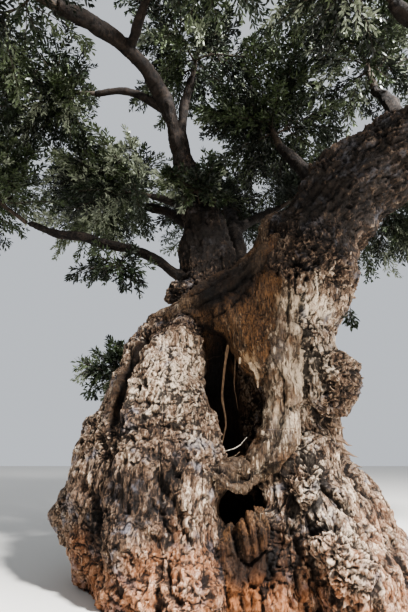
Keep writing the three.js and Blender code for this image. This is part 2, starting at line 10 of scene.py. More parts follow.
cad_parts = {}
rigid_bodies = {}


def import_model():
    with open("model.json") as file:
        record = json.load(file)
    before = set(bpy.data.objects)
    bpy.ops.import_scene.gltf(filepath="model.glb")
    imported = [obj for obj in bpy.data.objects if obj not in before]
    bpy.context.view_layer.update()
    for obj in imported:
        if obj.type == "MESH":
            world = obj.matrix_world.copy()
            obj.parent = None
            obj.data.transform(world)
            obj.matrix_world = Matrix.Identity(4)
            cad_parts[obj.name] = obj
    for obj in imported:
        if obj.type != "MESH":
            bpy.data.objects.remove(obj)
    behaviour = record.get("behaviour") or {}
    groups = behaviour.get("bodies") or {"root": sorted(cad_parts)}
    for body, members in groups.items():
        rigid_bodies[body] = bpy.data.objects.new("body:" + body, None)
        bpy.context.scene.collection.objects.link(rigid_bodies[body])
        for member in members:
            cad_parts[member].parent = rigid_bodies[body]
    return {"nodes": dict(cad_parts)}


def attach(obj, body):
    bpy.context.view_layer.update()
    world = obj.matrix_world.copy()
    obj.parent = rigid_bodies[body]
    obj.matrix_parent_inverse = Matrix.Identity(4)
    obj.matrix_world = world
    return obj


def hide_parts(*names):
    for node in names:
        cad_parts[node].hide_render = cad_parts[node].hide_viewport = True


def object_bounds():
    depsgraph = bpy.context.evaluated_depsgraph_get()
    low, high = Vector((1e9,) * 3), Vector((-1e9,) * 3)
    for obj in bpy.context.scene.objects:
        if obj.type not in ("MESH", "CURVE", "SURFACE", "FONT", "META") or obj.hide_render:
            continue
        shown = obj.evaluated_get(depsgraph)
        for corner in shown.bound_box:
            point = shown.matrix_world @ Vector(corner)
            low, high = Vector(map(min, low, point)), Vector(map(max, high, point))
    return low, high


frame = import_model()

# An ancient olive tree: hollow trunk, two great limbs, boughs and an open crown.
# Metres, +Z up, ground at z = 0.
mm = 0.001
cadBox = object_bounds()
startTime = time.time()


def report(stage):
    print(f"{stage} ({time.time() - startTime:.0f} s)")


def deselectAll():
    bpy.ops.object.select_all(action="DESELECT")


def selectOnly(piece):
    deselectAll()
    piece.select_set(True)
    bpy.context.view_layer.objects.active = piece


def applyModifier(piece, kind, **values):
    selectOnly(piece)
    modifier = piece.modifiers.new(kind.title(), kind)
    for name, value in values.items():
        setattr(modifier, name, value)
    bpy.ops.object.modifier_apply(modifier=modifier.name)


def readPoints(piece):
    points = np.empty(len(piece.data.vertices) * 3, np.float32)
    piece.data.vertices.foreach_get("co", points)
    return points.reshape(-1, 3).astype(float)


def writePoints(piece, points):
    piece.data.vertices.foreach_set("co", points.astype(np.float32).ravel())
    piece.data.update()


def writeAttribute(piece, name, values):
    attribute = piece.data.attributes.get(name) or piece.data.attributes.new(name, "FLOAT", "POINT")
    attribute.data.foreach_set("value", values.astype(np.float32))


def unit(vectors):
    return vectors / np.maximum(np.linalg.norm(vectors, axis=-1, keepdims=True), 1e-9)


def smoothStep(low, high, values):
    t = np.clip((values - low) / (high - low), 0, 1)
    return t * t * (3 - 2 * t)


# Seeded noise in space, which is the same on every run.
def cellHash(x, y, z, seed):
    with np.errstate(over="ignore"):
        h = (x.astype(np.uint32) * np.uint32(374761393) + y.astype(np.uint32) * np.uint32(668265263)
             + z.astype(np.uint32) * np.uint32(2246822519) + np.uint32(seed * 3266489917 & 0xffffffff))
        h = (h ^ (h >> np.uint32(15))) * np.uint32(2246822507)
        h = (h ^ (h >> np.uint32(13))) * np.uint32(3266489909)
        return h ^ (h >> np.uint32(16))


def hashShare(h, turn):
    return ((h >> np.uint32(turn)) & np.uint32(1023)).astype(np.float32) / 1023


def softNoise(points, size, seed):
    # Gradient noise from about -1 to 1, with waves of the given size.
    p = (points / size).astype(np.float32)
    base = np.floor(p).astype(np.int64)
    f = p - base
    fade = f * f * f * (f * (f * 6 - 15) + 10)
    total = np.zeros(len(p), np.float32)
    for corner in range(8):
        step = np.array([corner & 1, corner >> 1 & 1, corner >> 2])
        h = cellHash(base[:, 0] + step[0], base[:, 1] + step[1], base[:, 2] + step[2], seed)
        away = f - step
        value = sum((hashShare(h, turn) * 2 - 1) * away[:, axis] for axis, turn in enumerate((0, 10, 20)))
        weight = np.prod(np.where(step, fade, 1 - fade), axis=1)
        total += value * weight
    return total * 1.6


def softBend(points, size, seeds):
    # One noise for each axis, so that it can push the points about.
    return np.stack([softNoise(points, size, seed) for seed in seeds], 1)


def ridges(points, size, seed):
    # 1 along thin winding lines, falling to 0 between them.
    return 1 - np.clip(np.abs(softNoise(points, size, seed)) * 2.2, 0, 1)


def plateCells(points, size, seed):
    # Distance to the nearest and second nearest seed of a scattering, and a share that the nearest has.
    p = (points / size).astype(np.float32)
    base = np.floor(p).astype(np.int64)
    first = np.full(len(p), 9, np.float32)
    second = first.copy()
    share = np.zeros(len(p), np.float32)
    for dx in (-1, 0, 1):
        for dy in (-1, 0, 1):
            for dz in (-1, 0, 1):
                cell = base + (dx, dy, dz)
                h = cellHash(cell[:, 0], cell[:, 1], cell[:, 2], seed)
                gap = np.zeros(len(p), np.float32)
                for axis, turn in enumerate((0, 10, 20)):
                    gap += (cell[:, axis] + hashShare(h, turn) - p[:, axis]) ** 2
                gap = np.sqrt(gap)
                nearer = gap < first
                second = np.where(nearer, first, np.minimum(second, gap))
                share = np.where(nearer, hashShare(h, 5), share)
                first = np.where(nearer, gap, first)
    return first, second, share


# The camera stands as in the picture, which is 408 by 612 pixels.
view = {"eye": (0, -4.2, 1.05), "tilt": 20.06, "lens": 24, "sensor": 36, "width": 408, "height": 612}


def addCamera():
    data = bpy.data.cameras.new("camera")
    data.sensor_width = view["sensor"]
    data.lens = view["lens"]
    data.clip_end = 200
    camera = bpy.data.objects.new("camera", data)
    camera.location = view["eye"]
    camera.rotation_euler = (math.radians(90 + view["tilt"]), 0, 0)
    bpy.context.scene.collection.objects.link(camera)
    bpy.context.scene.camera = camera


def pixelRay(u, v):
    focal = view["lens"] / view["sensor"] * view["height"]
    right, up = (u - view["width"] / 2) / focal, (view["height"] / 2 - v) / focal
    c, s = math.cos(math.radians(view["tilt"])), math.sin(math.radians(view["tilt"]))
    return Vector((right, c - up * s, s + up * c)).normalized()


addCamera()

# Strands of wood that have grown together into the trunk. Each is a chain of balls [x, y, z, radius] in
# millimetres joined by tapering stretches; hollows are cut out of them in the same way.
footDepth = -150
trunkStrands = {
    "leftMass": [[-400, 150, footDepth, 430], [-520, 90, 230, 560], [-600, 60, 520, 640],
                 [-560, 10, 1050, 580], [-450, 0, 1600, 440], [-390, 30, 2120, 290]],
    "leftBulge": [[-1080, 170, 560, 360], [-900, 150, 480, 320]],
    "leftInner": [[-110, -380, footDepth, 280], [-160, -440, 600, 330], [-180, -430, 1050, 330],
                  [-230, -340, 1600, 260], [-230, -200, 2150, 210]],
    "leftFrontRib": [[-520, -560, footDepth, 240], [-540, -600, 500, 250], [-520, -490, 1250, 240],
                     [-430, -330, 1900, 220]],
    "leftOuterRib": [[-560, -260, footDepth, 200], [-880, -250, 650, 270], [-820, -170, 1250, 230],
                     [-660, -60, 1850, 180]],
    "leftShoulder": [[-590, 60, 2050, 200], [-330, 60, 2270, 190]],
    "leftToe": [[-400, -700, 40, 220], [-440, -500, 300, 230]],
    "middleToe": [[-110, -740, 60, 240], [-150, -500, 350, 260]],
    "straySpur": [[-640, -660, footDepth, 150], [-500, -450, 60, 170]],
    "rightColumn": [[1000, 40, footDepth, 500], [980, 0, 900, 410], [950, -60, 1500, 350],
                    [950, -90, 2300, 410], [1080, -100, 2800, 470]],
    "sideFlare": [[1050, 120, 1150, 230], [1320, 120, 450, 330], [1430, 120, footDepth, 440]],
    "frontFlare": [[960, -330, 1000, 240], [1080, -580, 350, 300], [1180, -740, footDepth, 320]],
    "middleFlare": [[1220, -240, 800, 240], [1540, -420, footDepth, 320]],
    "innerLeg": [[700, -400, 950, 200], [640, -540, 350, 220], [620, -590, footDepth, 240]],
    "hollowRim": [[840, -380, 2650, 120], [740, -460, 2100, 120], [690, -520, 1600, 130],
                  [600, -560, 1150, 130], [420, -590, 930, 110], [130, -570, 870, 110]],
    "sideBurl": [[1210, -260, 1780, 260], [1130, -200, 1850, 240]],
    "upperBurl": [[1060, -500, 3050, 160], [1100, -400, 3100, 160]],
    "rearRight": [[900, 560, footDepth, 520], [850, 500, 900, 420], [820, 330, 2100, 360]],
    "rearMiddle": [[150, 650, footDepth, 620], [150, 600, 900, 520], [120, 520, 2000, 430],
                   [90, 500, 2900, 360]],
    "rearLeft": [[-560, 600, footDepth, 470], [-500, 520, 900, 420], [-350, 420, 1900, 320]],
    "saddle": [[-150, -40, 2480, 190], [300, -150, 2520, 230], [760, -180, 2700, 260]],
    "smoothPanel": [[360, -220, 2420, 230], [520, -370, 1980, 190]],
    "innerWall": [[60, 200, 2300, 260], [120, 260, 1400, 230]],
    "saddleRidge": [[-450, 10, 2420, 110], [-60, -150, 2650, 115], [380, -130, 2870, 120],
                    [640, -60, 3220, 120], [820, -20, 3600, 110]],
    "saddleBurl": [[-280, 250, 2850, 175], [-150, 330, 2800, 180]],
    "saddleFill": [[300, 250, 2450, 330], [500, 150, 2650, 300]],
    "middleFoot": [[150, 120, footDepth, 520], [200, 20, 350, 330]],
    "brokenWood": [[350, -360, footDepth, 260], [350, -330, 330, 180]],
}
rightLimb = [[1080, -100, 2800, 470], [1250, -110, 3300, 500], [1600, -190, 3850, 500],
  [2000, -340, 4150, 480], [2500, -520, 4330, 430], [3000, -640, 4620, 330]]
leader = [[90, 500, 2900, 350], [90, 540, 3400, 305], [0, 640, 4100, 250],
  [-200, 600, 4750, 165], [-290, 530, 4960, 130]]
trunkHollows = {
    "mouth": [[290, -780, 1170, 205], [280, -740, 1450, 205], [190, -680, 1760, 120], [90, -580, 2150, 75],
              [20, -430, 2600, 45]],
    "chamber": [[250, -200, 1180, 300], [240, -160, 1550, 270], [170, -160, 1900, 150]],
    "lowerHole": [[290, -780, 660, 130], [290, -250, 620, 200]],
    "legRecess": [[290, -860, footDepth, 150], [290, -800, 480, 110]],
    "leftGroove": [[-800, -500, 1430, 85], [-640, -370, 2060, 80]],
}
boughs = {
    "left_arch_bough": {"radii": [118, 88],
                        "path": [[-300, 520, 4930], [-560, 130, 5700], [-950, -420, 5900],
                                 [-1300, -820, 5830], [-1640, -1080, 5740]]},
    "left_side_bough": {"radii": [62, 40],
                        "path": [[-510, 220, 5560], [-1050, 160, 5850], [-1560, 200, 5860]]},
    "left_low_bough": {"radii": [68, 38],
                       "path": [[-120, 400, 2960], [-560, 420, 3330], [-940, 400, 3510],
                                [-1780, 300, 3640], [-2250, 240, 3800]]},
    "left_inner_bough": {"radii": [60, 42], "path": [[0, 650, 4150], [-500, 760, 4450], [-760, 800, 4560]]},
    "top_bough": {"radii": [100, 58],
                  "path": [[-240, 570, 4850], [-330, 620, 5500], [-280, 560, 6120], [-180, 500, 6500]]},
    "front_bough": {"radii": [66, 44],
                    "path": [[-950, -420, 5900], [-640, -1000, 6080], [-260, -1480, 6100]]},
    "centre_bough": {"radii": [110, 70],
                     "path": [[1500, -150, 3900], [1180, 200, 4700], [1050, 300, 5000]]},
    "right_middle_bough": {"radii": [95, 60],
                           "path": [[2620, -700, 4560], [2380, -1060, 5150], [2000, -1250, 5560]]},
    "back_bough": {"radii": [130, 80],
                   "path": [[520, 330, 2900], [460, 760, 3700], [440, 1300, 4500], [420, 1750, 4900]]},
    "back_left_bough": {"radii": [95, 55],
                        "path": [[60, 620, 3700], [-500, 1150, 4500], [-1150, 1650, 5000]]},
    "back_right_bough": {"radii": [84, 55],
                         "path": [[450, 1050, 4150], [950, 1700, 4800], [1350, 2050, 5200]]},
    "right_back_bough": {"radii": [130, 75],
                         "path": [[2050, -250, 4250], [2400, 500, 4650], [2750, 1250, 4850]]},
    "right_top_bough": {"radii": [120, 70],
                        "path": [[2300, -450, 4500], [2350, -250, 5200], [2300, -50, 5650]]},
    "right_front_bough": {"radii": [125, 70],
                          "path": [[2700, -600, 4480], [2900, -1250, 4850], [2950, -1650, 5000]]},
    "right_outer_bough": {"radii": [170, 85],
                          "path": [[2980, -640, 4620], [3300, -650, 4950], [3560, -600, 5200]]},
}

# Smaller strands that only show from near by.
fineStrands = {
    "panelEdge": [[720, -300, 2620, 200], [690, -390, 2200, 150], [610, -430, 1860, 100]],
    "panelLip": [[250, -330, 2330, 120], [440, -420, 2020, 110], [560, -440, 1760, 80]],
    "ridgeRope": [[-330, -130, 2400, 75], [60, -260, 2590, 80], [450, -300, 2850, 85],
                  [720, -330, 3150, 80]],
    "rimRope": [[800, -440, 2450, 70], [770, -540, 2000, 75], [740, -590, 1550, 80], [680, -640, 1180, 80],
                [560, -700, 960, 70]],
    "burlFront": [[1200, -440, 1740, 225], [1180, -420, 1650, 215]],
    "leaderFlank": [[-60, 500, 2650, 240], [-110, 530, 3150, 205], [-140, 590, 3750, 140],
                    [-130, 610, 4150, 70]],
    "burlCollar": [[1060, -400, 1980, 190], [1090, -380, 1600, 190]],
    "upperKnot": [[1060, -560, 3030, 150], [1040, -500, 2950, 150]],
    "legBurr": [[870, -640, 850, 130], [760, -650, 760, 120]],
    "legBurrLow": [[930, -860, 420, 140], [1010, -900, 300, 150]],
    "brokenBlock": [[430, -560, 560, 90], [520, -580, 420, 110], [470, -600, 200, 120]],
}
# Split wood that stands in the lower hollow, where it was cut out.
splitStrands = {
    "splitOne": [[300, -625, 530, 52], [322, -650, 470, 56], [342, -640, 385, 50]],
    "splitTwo": [[346, -625, 552, 54], [370, -660, 480, 58], [388, -650, 385, 52]],
    "splitThree": [[394, -625, 540, 54], [418, -660, 490, 58], [434, -650, 395, 52]],
    "splitFour": [[440, -620, 566, 50], [464, -645, 520, 56], [482, -640, 420, 52]],
    "rotOne": [[158, -590, 510, 34], [150, -610, 400, 56], [190, -620, 200, 66], [160, -640, footDepth, 84]],
    "rotTwo": [[236, -540, 390, 40], [262, -580, 270, 62], [226, -620, 110, 76], [250, -640, footDepth, 84]],
    "rotThree": [[330, -540, 240, 50], [310, -590, 160, 68], [340, -620, 40, 84], [340, -630, footDepth, 84]],
    "rotFour": [[412, -540, 280, 54], [438, -600, 190, 66], [410, -630, 60, 84], [430, -640, footDepth, 84]],
    "rotFive": [[505, -560, 330, 48], [490, -610, 220, 60], [525, -640, 70, 80], [520, -650, footDepth, 84]],
    "lipHang": [[140, -700, 850, 56], [240, -715, 800, 44], [322, -715, 806, 38], [410, -700, 872, 44]],
}
# Smaller notches in the edges of the hollows.
fineHollows = {
    "holeSide": [[430, -760, 800, 90], [560, -760, 905, 62], [640, -760, 930, 40]],
    "legNotch": [[560, -800, 640, 46], [610, -820, 560, 50], [600, -830, 470, 34]],
    "mouthNotch": [[150, -800, 1900, 40], [120, -760, 1960, 30]],
}

woodMaking = {
    "voxels": (0.034, 0.031),  # the limbs are joined in faces of these sizes, one after the other
    "refined": ((5.6, 1.2), (3.25, 0.4)),  # then finer faces below this height and in front of this depth
    "facing": -0.08,
    "blends": {  # how softly a strand runs into the others, where it isn't the usual
        "leftMass": 0.2, "leftBulge": 0.18, "leftInner": 0.2, "leftFrontRib": 0.22, "leftOuterRib": 0.24,
        "leftShoulder": 0.15, "leftToe": 0.12, "middleToe": 0.12, "smoothPanel": 0.24, "saddle": 0.2,
        "panelEdge": 0.18, "panelLip": 0.16, "hollowRim": 0.16, "saddleFill": 0.2, "rearRight": 0.2,
        "rearMiddle": 0.2, "rearLeft": 0.2, "rightLimb": 0.25, "frontFlare": 0.14, "middleFlare": 0.12,
        "sideFlare": 0.14, "innerLeg": 0.12, "sideBurl": 0.13, "burlCollar": 0.16, "rimRope": 0.12,
        "leader": 0.2, "upperKnot": 0.06, "legBurr": 0.1, "legBurrLow": 0.1, "ridgeRope": 0.13,
        "burlFront": 0.06, "leaderFlank": 0.15, "splitOne": 0.09, "splitTwo": 0.09, "splitThree": 0.09,
        "splitFour": 0.09, "rotOne": 0.13, "rotTwo": 0.14, "rotThree": 0.14, "rotFour": 0.14,
        "rotFive": 0.13, "lipHang": 0.08,
    },
    "strandBlend": 0.07,
    "hollowBlend": 0.06,
    "reach": 0.4,  # a strand counts this far from itself
    "ballStep": 0.6,  # the smaller strands start as rows of balls this far apart, in radii
    "wanderSize": 0.42,  # the strands wander a little from their straight stretches
    "wander": 0.05,
    "wanderHeights": (5.2, 3.4),  # not at all above the first height, fully below the second
    "aboveGround": 0.004,  # faces lower than this aren't refined
}


def boughCurve(path, share):
    # Point at a share of the length of a smooth curve through the path's points, which is in millimetres.
    points = [np.array(p, float) for p in path]
    points = [2 * points[0] - points[1], *points, 2 * points[-1] - points[-2]]
    samples = [points[1]]
    divisions = 200
    for i in range(1, divisions + 1):
        place = i / divisions * (len(path) - 1)
        k = min(int(place), len(path) - 2)
        p0, p1, p2, p3 = points[k:k + 4]
        d0, d1, d2 = [max(np.linalg.norm(b - a), 1e-4) ** 0.5 for a, b in ((p0, p1), (p1, p2), (p2, p3))]
        t1 = ((p1 - p0) / d0 - (p2 - p0) / (d0 + d1) + (p2 - p1) / d1) * d1
        t2 = ((p2 - p1) / d1 - (p3 - p1) / (d1 + d2) + (p3 - p2) / d2) * d1
        w = place - k
        bending = 3 * (p2 - p1) - 2 * t1 - t2
        closing = 2 * (p1 - p2) + t1 + t2
        samples.append(p1 + t1 * w + bending * w ** 2 + closing * w ** 3)
    samples = np.array(samples)
    lengths = np.concatenate([[0], np.cumsum(np.linalg.norm(np.diff(samples, axis=0), axis=1))])
    wanted = np.asarray(share) * lengths[-1]
    return np.stack([np.interp(wanted, lengths, samples[:, axis]) for axis in range(3)], -1)


def boughChain(bough, stretches=14):
    shares = np.linspace(0, 1, stretches + 1)
    radii = bough["radii"][0] + (bough["radii"][1] - bough["radii"][0]) * shares
    return np.column_stack([boughCurve(bough["path"], shares), radii]) * mm


strands = {name: np.array(chain, float) * mm for name, chain in trunkStrands.items()}
strands.update({name: np.array(chain, float) * mm for name, chain in {**fineStrands, **splitStrands}.items()})
strands["rightLimb"] = np.array(rightLimb, float) * mm
strands["leader"] = np.array(leader, float) * mm
strands.update({name: boughChain(bough) for name, bough in boughs.items()})
strandNames = list(strands)
hollows = {name: np.array(chain, float) * mm for name, chain in {**trunkHollows, **fineHollows}.items()}

# The grain runs along these lines; a strand that isn't named here has its own.
grainLines = {
    "left": strands["leftMass"],
    "right": np.vstack([strands["rightColumn"], strands["rightLimb"][1:]]),
    "rear": np.vstack([strands["rearMiddle"], strands["leader"][1:]]),
    "panel": np.array([[-0.1, -0.2, 3.4, 0.1], [0.35, -0.3, 2.5, 0.1], [0.56, -0.42, 1.7, 0.1]]),
}
lineOf = {
    "leftMass": "left", "leftBulge": "left", "leftInner": "left", "leftFrontRib": "left",
    "leftOuterRib": "left", "leftShoulder": "left", "leftToe": "left", "middleToe": "left",
    "rightColumn": "right", "rightLimb": "right", "sideFlare": "right", "burlCollar": "right",
    "rearMiddle": "rear", "rearRight": "rear", "rearLeft": "rear", "leader": "rear",
    "leaderFlank": "rear", "smoothPanel": "panel", "panelEdge": "panel", "panelLip": "panel",
    "saddle": "panel", "innerWall": "rear", "middleFoot": "rear", "rimRope": "hollowRim",
}
# Burls have no grain.
noGrain = ("sideBurl", "burlFront", "upperBurl", "upperKnot", "saddleBurl", "legBurr", "legBurrLow")


def nearLine(points, line, reach):
    # Numbers of the points in a box that stands this far out round a line.
    return np.flatnonzero(np.all((points > line.min(0) - reach) & (points < line.max(0) + reach), 1))


def chainGap(points, chain):
    # Distance to the chain's skin, the way out of it, the place along it, and the place seen from its axis.
    gap = np.full(len(points), 99.0)
    along = np.zeros(len(points))
    fromAxis = np.zeros((len(points), 3))
    walked = 0
    for a, b in zip(chain, chain[1:]):
        edge = b[:3] - a[:3]
        length = np.linalg.norm(edge)
        t = np.clip((points - a[:3]) @ edge / length ** 2, 0, 1)
        offset = points - a[:3] - t[:, None] * edge
        distance = np.linalg.norm(offset, axis=1) - a[3] - t * (b[3] - a[3])
        nearer = distance < gap
        gap[nearer] = distance[nearer]
        along[nearer] = walked + t[nearer] * length
        fromAxis[nearer] = offset[nearer]
        walked += length
    return gap, unit(fromAxis), along, fromAxis


def readWood(places, making):
    # Distance to the wood's skin for many points at once, with all that the bark needs to know about each.
    count = len(places)
    thick = smoothStep(*making["wanderHeights"], places[:, 2])[:, None]
    points = places + making["wander"] * thick * softBend(places, making["wanderSize"], (11, 12, 13))
    wood = {"hollow": np.zeros(count)}
    for name in ("distance", "hollowGap", "nearest", "second"):
        wood[name] = np.full(count, 9.0)
    for name in ("slope", "nearestWay", "secondWay"):
        wood[name] = np.zeros((count, 3))
    for name in ("strand", "secondStrand"):
        wood[name] = np.zeros(count, int)

    def growStrand(index, name):
        chain = strands[name]
        reach = chain[:, 3].max() + making["reach"]
        near = nearLine(points, chain[:, :3], reach)
        gap, way, _, _ = chainGap(points[near], chain)
        softness = making["blends"].get(name, making["strandBlend"])
        old = wood["distance"][near]
        blend = np.clip(1 - np.abs(old - gap) / softness, 0, 1)
        share = np.where(gap < old, 1 - blend / 2, blend / 2)[:, None]
        wood["distance"][near] = np.minimum(old, gap) - blend ** 2 * softness / 4
        wood["slope"][near] = wood["slope"][near] * (1 - share) + way * share
        wood["hollow"][near] *= 1 - share[:, 0]
        first = gap < wood["nearest"][near]
        then = ~first & (gap < wood["second"][near])
        won, placed = near[first], near[then]
        wood["second"][won], wood["secondWay"][won] = wood["nearest"][won], wood["nearestWay"][won]
        wood["secondStrand"][won] = wood["strand"][won]
        wood["nearest"][won], wood["nearestWay"][won], wood["strand"][won] = gap[first], way[first], index
        wood["second"][placed], wood["secondWay"][placed] = gap[then], way[then]
        wood["secondStrand"][placed] = index

    for index, name in enumerate(strandNames):
        if name not in splitStrands:
            growStrand(index, name)
    for chain in hollows.values():
        reach = chain[:, 3].max() + making["reach"]
        near = nearLine(points, chain[:, :3], reach)
        gap, way, _, _ = chainGap(points[near], chain)
        old = wood["distance"][near]
        blend = np.clip(1 - np.abs(-old - gap) / making["hollowBlend"], 0, 1)
        share = np.where(gap < -old, 1 - blend / 2, blend / 2)[:, None]
        wood["distance"][near] = -(np.minimum(-old, gap) - blend ** 2 * making["hollowBlend"] / 4)
        wood["slope"][near] = wood["slope"][near] * (1 - share) - way * share
        wood["hollow"][near] = np.maximum(wood["hollow"][near], share[:, 0])
        wood["hollowGap"][near] = np.minimum(wood["hollowGap"][near], gap)
    for index, name in enumerate(strandNames):
        if name in splitStrands:
            growStrand(index, name)
    ground = -places[:, 2] > wood["distance"]
    wood["distance"] = np.where(ground, -places[:, 2], wood["distance"])
    wood["slope"][ground] = (0, 0, -1)
    wood["ground"] = ground
    return wood


def settle(points, making, rounds=3):
    # Moves each point on to the skin.
    for _ in range(rounds):
        wood = readWood(points, making)
        steep = np.maximum(np.sum(wood["slope"] ** 2, axis=1), 0.35)
        points = points - (wood["distance"] / steep)[:, None] * wood["slope"]
        points[:, 2] = np.maximum(points[:, 2], 0)
    return points


def joinLimbs(making):
    # Copies of the trunk, the limbs and the boughs are joined and remeshed as one body of wood.
    deselectAll()
    copies = []
    for node in ("trunk", "right_limb", "leader", *boughs):
        copy = bpy.data.objects.new("wood", frame["nodes"][node].data.copy())
        bpy.context.scene.collection.objects.link(copy)
        copies.append(copy)
    for name in (*fineStrands, *splitStrands):
        for a, b in zip(strands[name], strands[name][1:]):
            count = max(1, int(np.linalg.norm(b[:3] - a[:3]) / (making["ballStep"] * min(a[3], b[3]))))
            for ball in a + (b - a) * np.linspace(0, 1, count + 1)[:, None]:
                bpy.ops.mesh.primitive_ico_sphere_add(subdivisions=2, radius=ball[3], location=ball[:3])
                copies.append(bpy.context.object)
    for copy in copies:
        copy.select_set(True)
    body = copies[0]
    bpy.context.view_layer.objects.active = body
    bpy.ops.object.join()
    bpy.ops.object.mode_set(mode="EDIT")
    bpy.ops.mesh.select_all(action="SELECT")
    bpy.ops.mesh.remove_doubles(threshold=1e-5)
    bpy.ops.object.mode_set(mode="OBJECT")
    for voxel in making["voxels"]:
        applyModifier(body, "REMESH", mode="VOXEL", voxel_size=voxel)
        writePoints(body, settle(readPoints(body), making))
        report(f"wood in faces of {voxel * 1000:.0f} mm: {len(body.data.vertices)} points")
    return body


def refineFront(body, making):
    # The bark that the camera sees gets finer faces, and finer again where it is near.
    mesh = body.data
    for highest, deepest in making["refined"]:
        centres = np.empty(len(mesh.polygons) * 3, np.float32)
        normals = centres.copy()
        mesh.polygons.foreach_get("center", centres)
        mesh.polygons.foreach_get("normal", normals)
        centres, normals = centres.reshape(-1, 3), normals.reshape(-1, 3)
        seen = unit(np.array(view["eye"]) - centres)
        facing = np.sum(seen * normals, axis=1) > making["facing"]
        near = (centres[:, 2] < highest) & (centres[:, 1] < deepest)
        near &= centres[:, 2] > making["aboveGround"]
        mesh.vertices.foreach_set("select", np.zeros(len(mesh.vertices), bool))
        mesh.edges.foreach_set("select", np.zeros(len(mesh.edges), bool))
        mesh.polygons.foreach_set("select", facing & near)
        selectOnly(body)
        bpy.ops.object.mode_set(mode="EDIT")
        bpy.ops.mesh.select_mode(type="FACE")
        bpy.ops.mesh.subdivide(number_cuts=1)
        bpy.ops.object.mode_set(mode="OBJECT")
        writePoints(body, settle(readPoints(body), making, 2))
        report(f"front of the wood refined: {len(mesh.vertices)} points")


wood = joinLimbs(woodMaking)
refineFront(wood, woodMaking)


# Relief of the bark, in metres. Sizes are across the grain.
barkRelief = {
    "creaseWidth": 0.026, "creaseDepth": 0.05,  # where two strands meet
    "lumpSize": 0.38, "lump": 0.055,
    "bumpSize": 0.16, "bump": 0.034,
    "warpSize": 0.07, "warp": 0.020, "fineWarpSize": 0.028, "fineWarp": 0.007,  # bend the patterns
    "ropeSize": 0.14, "rope": 0.020, "ropeStretch": 5,
    "furrowSize": 0.07, "furrow": 0.013, "furrowStretch": 5.5,
    "crestSize": 0.038, "crest": 0.009, "crestStretch": 5,
    "layerSize": 0.088, "layer": 0.014, "layerStretch": 3, "layers": 3,  # flaking layers
    "flakeSize": 0.03, "flake": 0.005, "flakeStretch": 3,
    "knobSize": 0.10, "knob": 0.030,
    "pitSize": 0.19, "pit": 0.034,
    "wrinkleSize": 0.13, "wrinkle": 0.011, "wrinkleFlat": 3.2,
    "woodSize": 0.12, "wood": 0.026, "woodStretch": 7,
    "grainSize": 0.030, "grain": 0.009, "grainStretch": 12,
    "dentSize": 0.09, "dent": 0.022,
    "rotSize": 0.11, "rot": 0.035, "rotStretch": 3,
    # The inside begins this near to a hollow, this deep in the trunk, or with this share of a hollow; it
    # counts as bare wood with the relief of rotten wood, and the material paints it near-black as the shade
    # in the hollow.
    "insideGap": (0.12, 0.02), "insideDepth": (-0.52, -0.3), "insideShare": (0.2, 0.9),
    "hardBlend": 0.07,  # strands that blend more softly than this meet in a weaker crease
    "leaderThickness": 0.2, "trunkThickness": 0.5, "leastScale": 0.15,
}
# Share of each pattern in the painted shade of the bark's cracks, creases, pits and ledges, and in the darker
# grain of bare wood.
crackShadeShares = {
    "crease": 0.8, "furrow": 0.5, "crest": 0.25, "pit": 0.9, "chip": 0.25, "wrinkle": 0.45, "dome": 0.5,
    "ledge": 0.35, "grain": 0.45, "swell": 0.4,
}
plateShares = {"flake": 0.45, "crest": 0.35, "rope": 0.25, "layer": 0.3}
bareWood = {
    "smoothPanel": 1, "panelEdge": 1, "panelLip": 1, "hollowRim": 0.85, "rimRope": 0.8,
    "saddleRidge": 0.75, "ridgeRope": 0.85, "brokenWood": 1, "innerWall": 1, "saddle": 0.9,
    "saddleFill": 0.5, "middleFoot": 0.8, "brokenBlock": 1, "splitOne": 1, "splitTwo": 1,
    "splitThree": 1, "splitFour": 1, "rotOne": 1, "rotTwo": 1, "rotThree": 1, "rotFour": 1,
    "rotFive": 0.6, "lipHang": 0.9,
}
burrs = {
    "sideBurl": 1, "burlFront": 1, "upperBurl": 0.8, "upperKnot": 0.8, "saddleBurl": 0.8,
    "leftBulge": 0.6, "leftToe": 0.6, "middleToe": 0.6, "frontFlare": 0.5, "middleFlare": 0.6,
    "innerLeg": 0.6, "legBurr": 1, "legBurrLow": 1, "leftMass": 0.2, "leftFrontRib": 0.2,
    "leftInner": 0.15, "burlCollar": 0.4,
}
# Bare wood that has weathered grey.
weathered = {
    "hollowRim": 1, "rimRope": 1, "saddleRidge": 0.9, "ridgeRope": 1, "middleFoot": 0.5, "panelEdge": 0.2,
    "panelLip": 0.3, "saddle": 0.35, "saddleFill": 0.8, "brokenBlock": 0.4, "lipHang": 1, "splitOne": 0.5,
    "splitTwo": 0.5, "splitThree": 0.5, "splitFour": 0.5, "rotOne": 0.7, "rotTwo": 0.8, "rotThree": 0.8,
    "rotFour": 0.8, "rotFive": 0.8,
}
# How much coarser the plates stand out than usual.
coarse = {
    "frontFlare": 1.5, "middleFlare": 1.5, "innerLeg": 1.5, "sideFlare": 1.6, "sideBurl": 1.6,
    "burlFront": 1.6, "legBurr": 1.6, "legBurrLow": 1.6, "rightColumn": 1.1, "burlCollar": 1.3,
    "upperKnot": 1.4, "rightLimb": 1.8, "leader": 1.3,
}
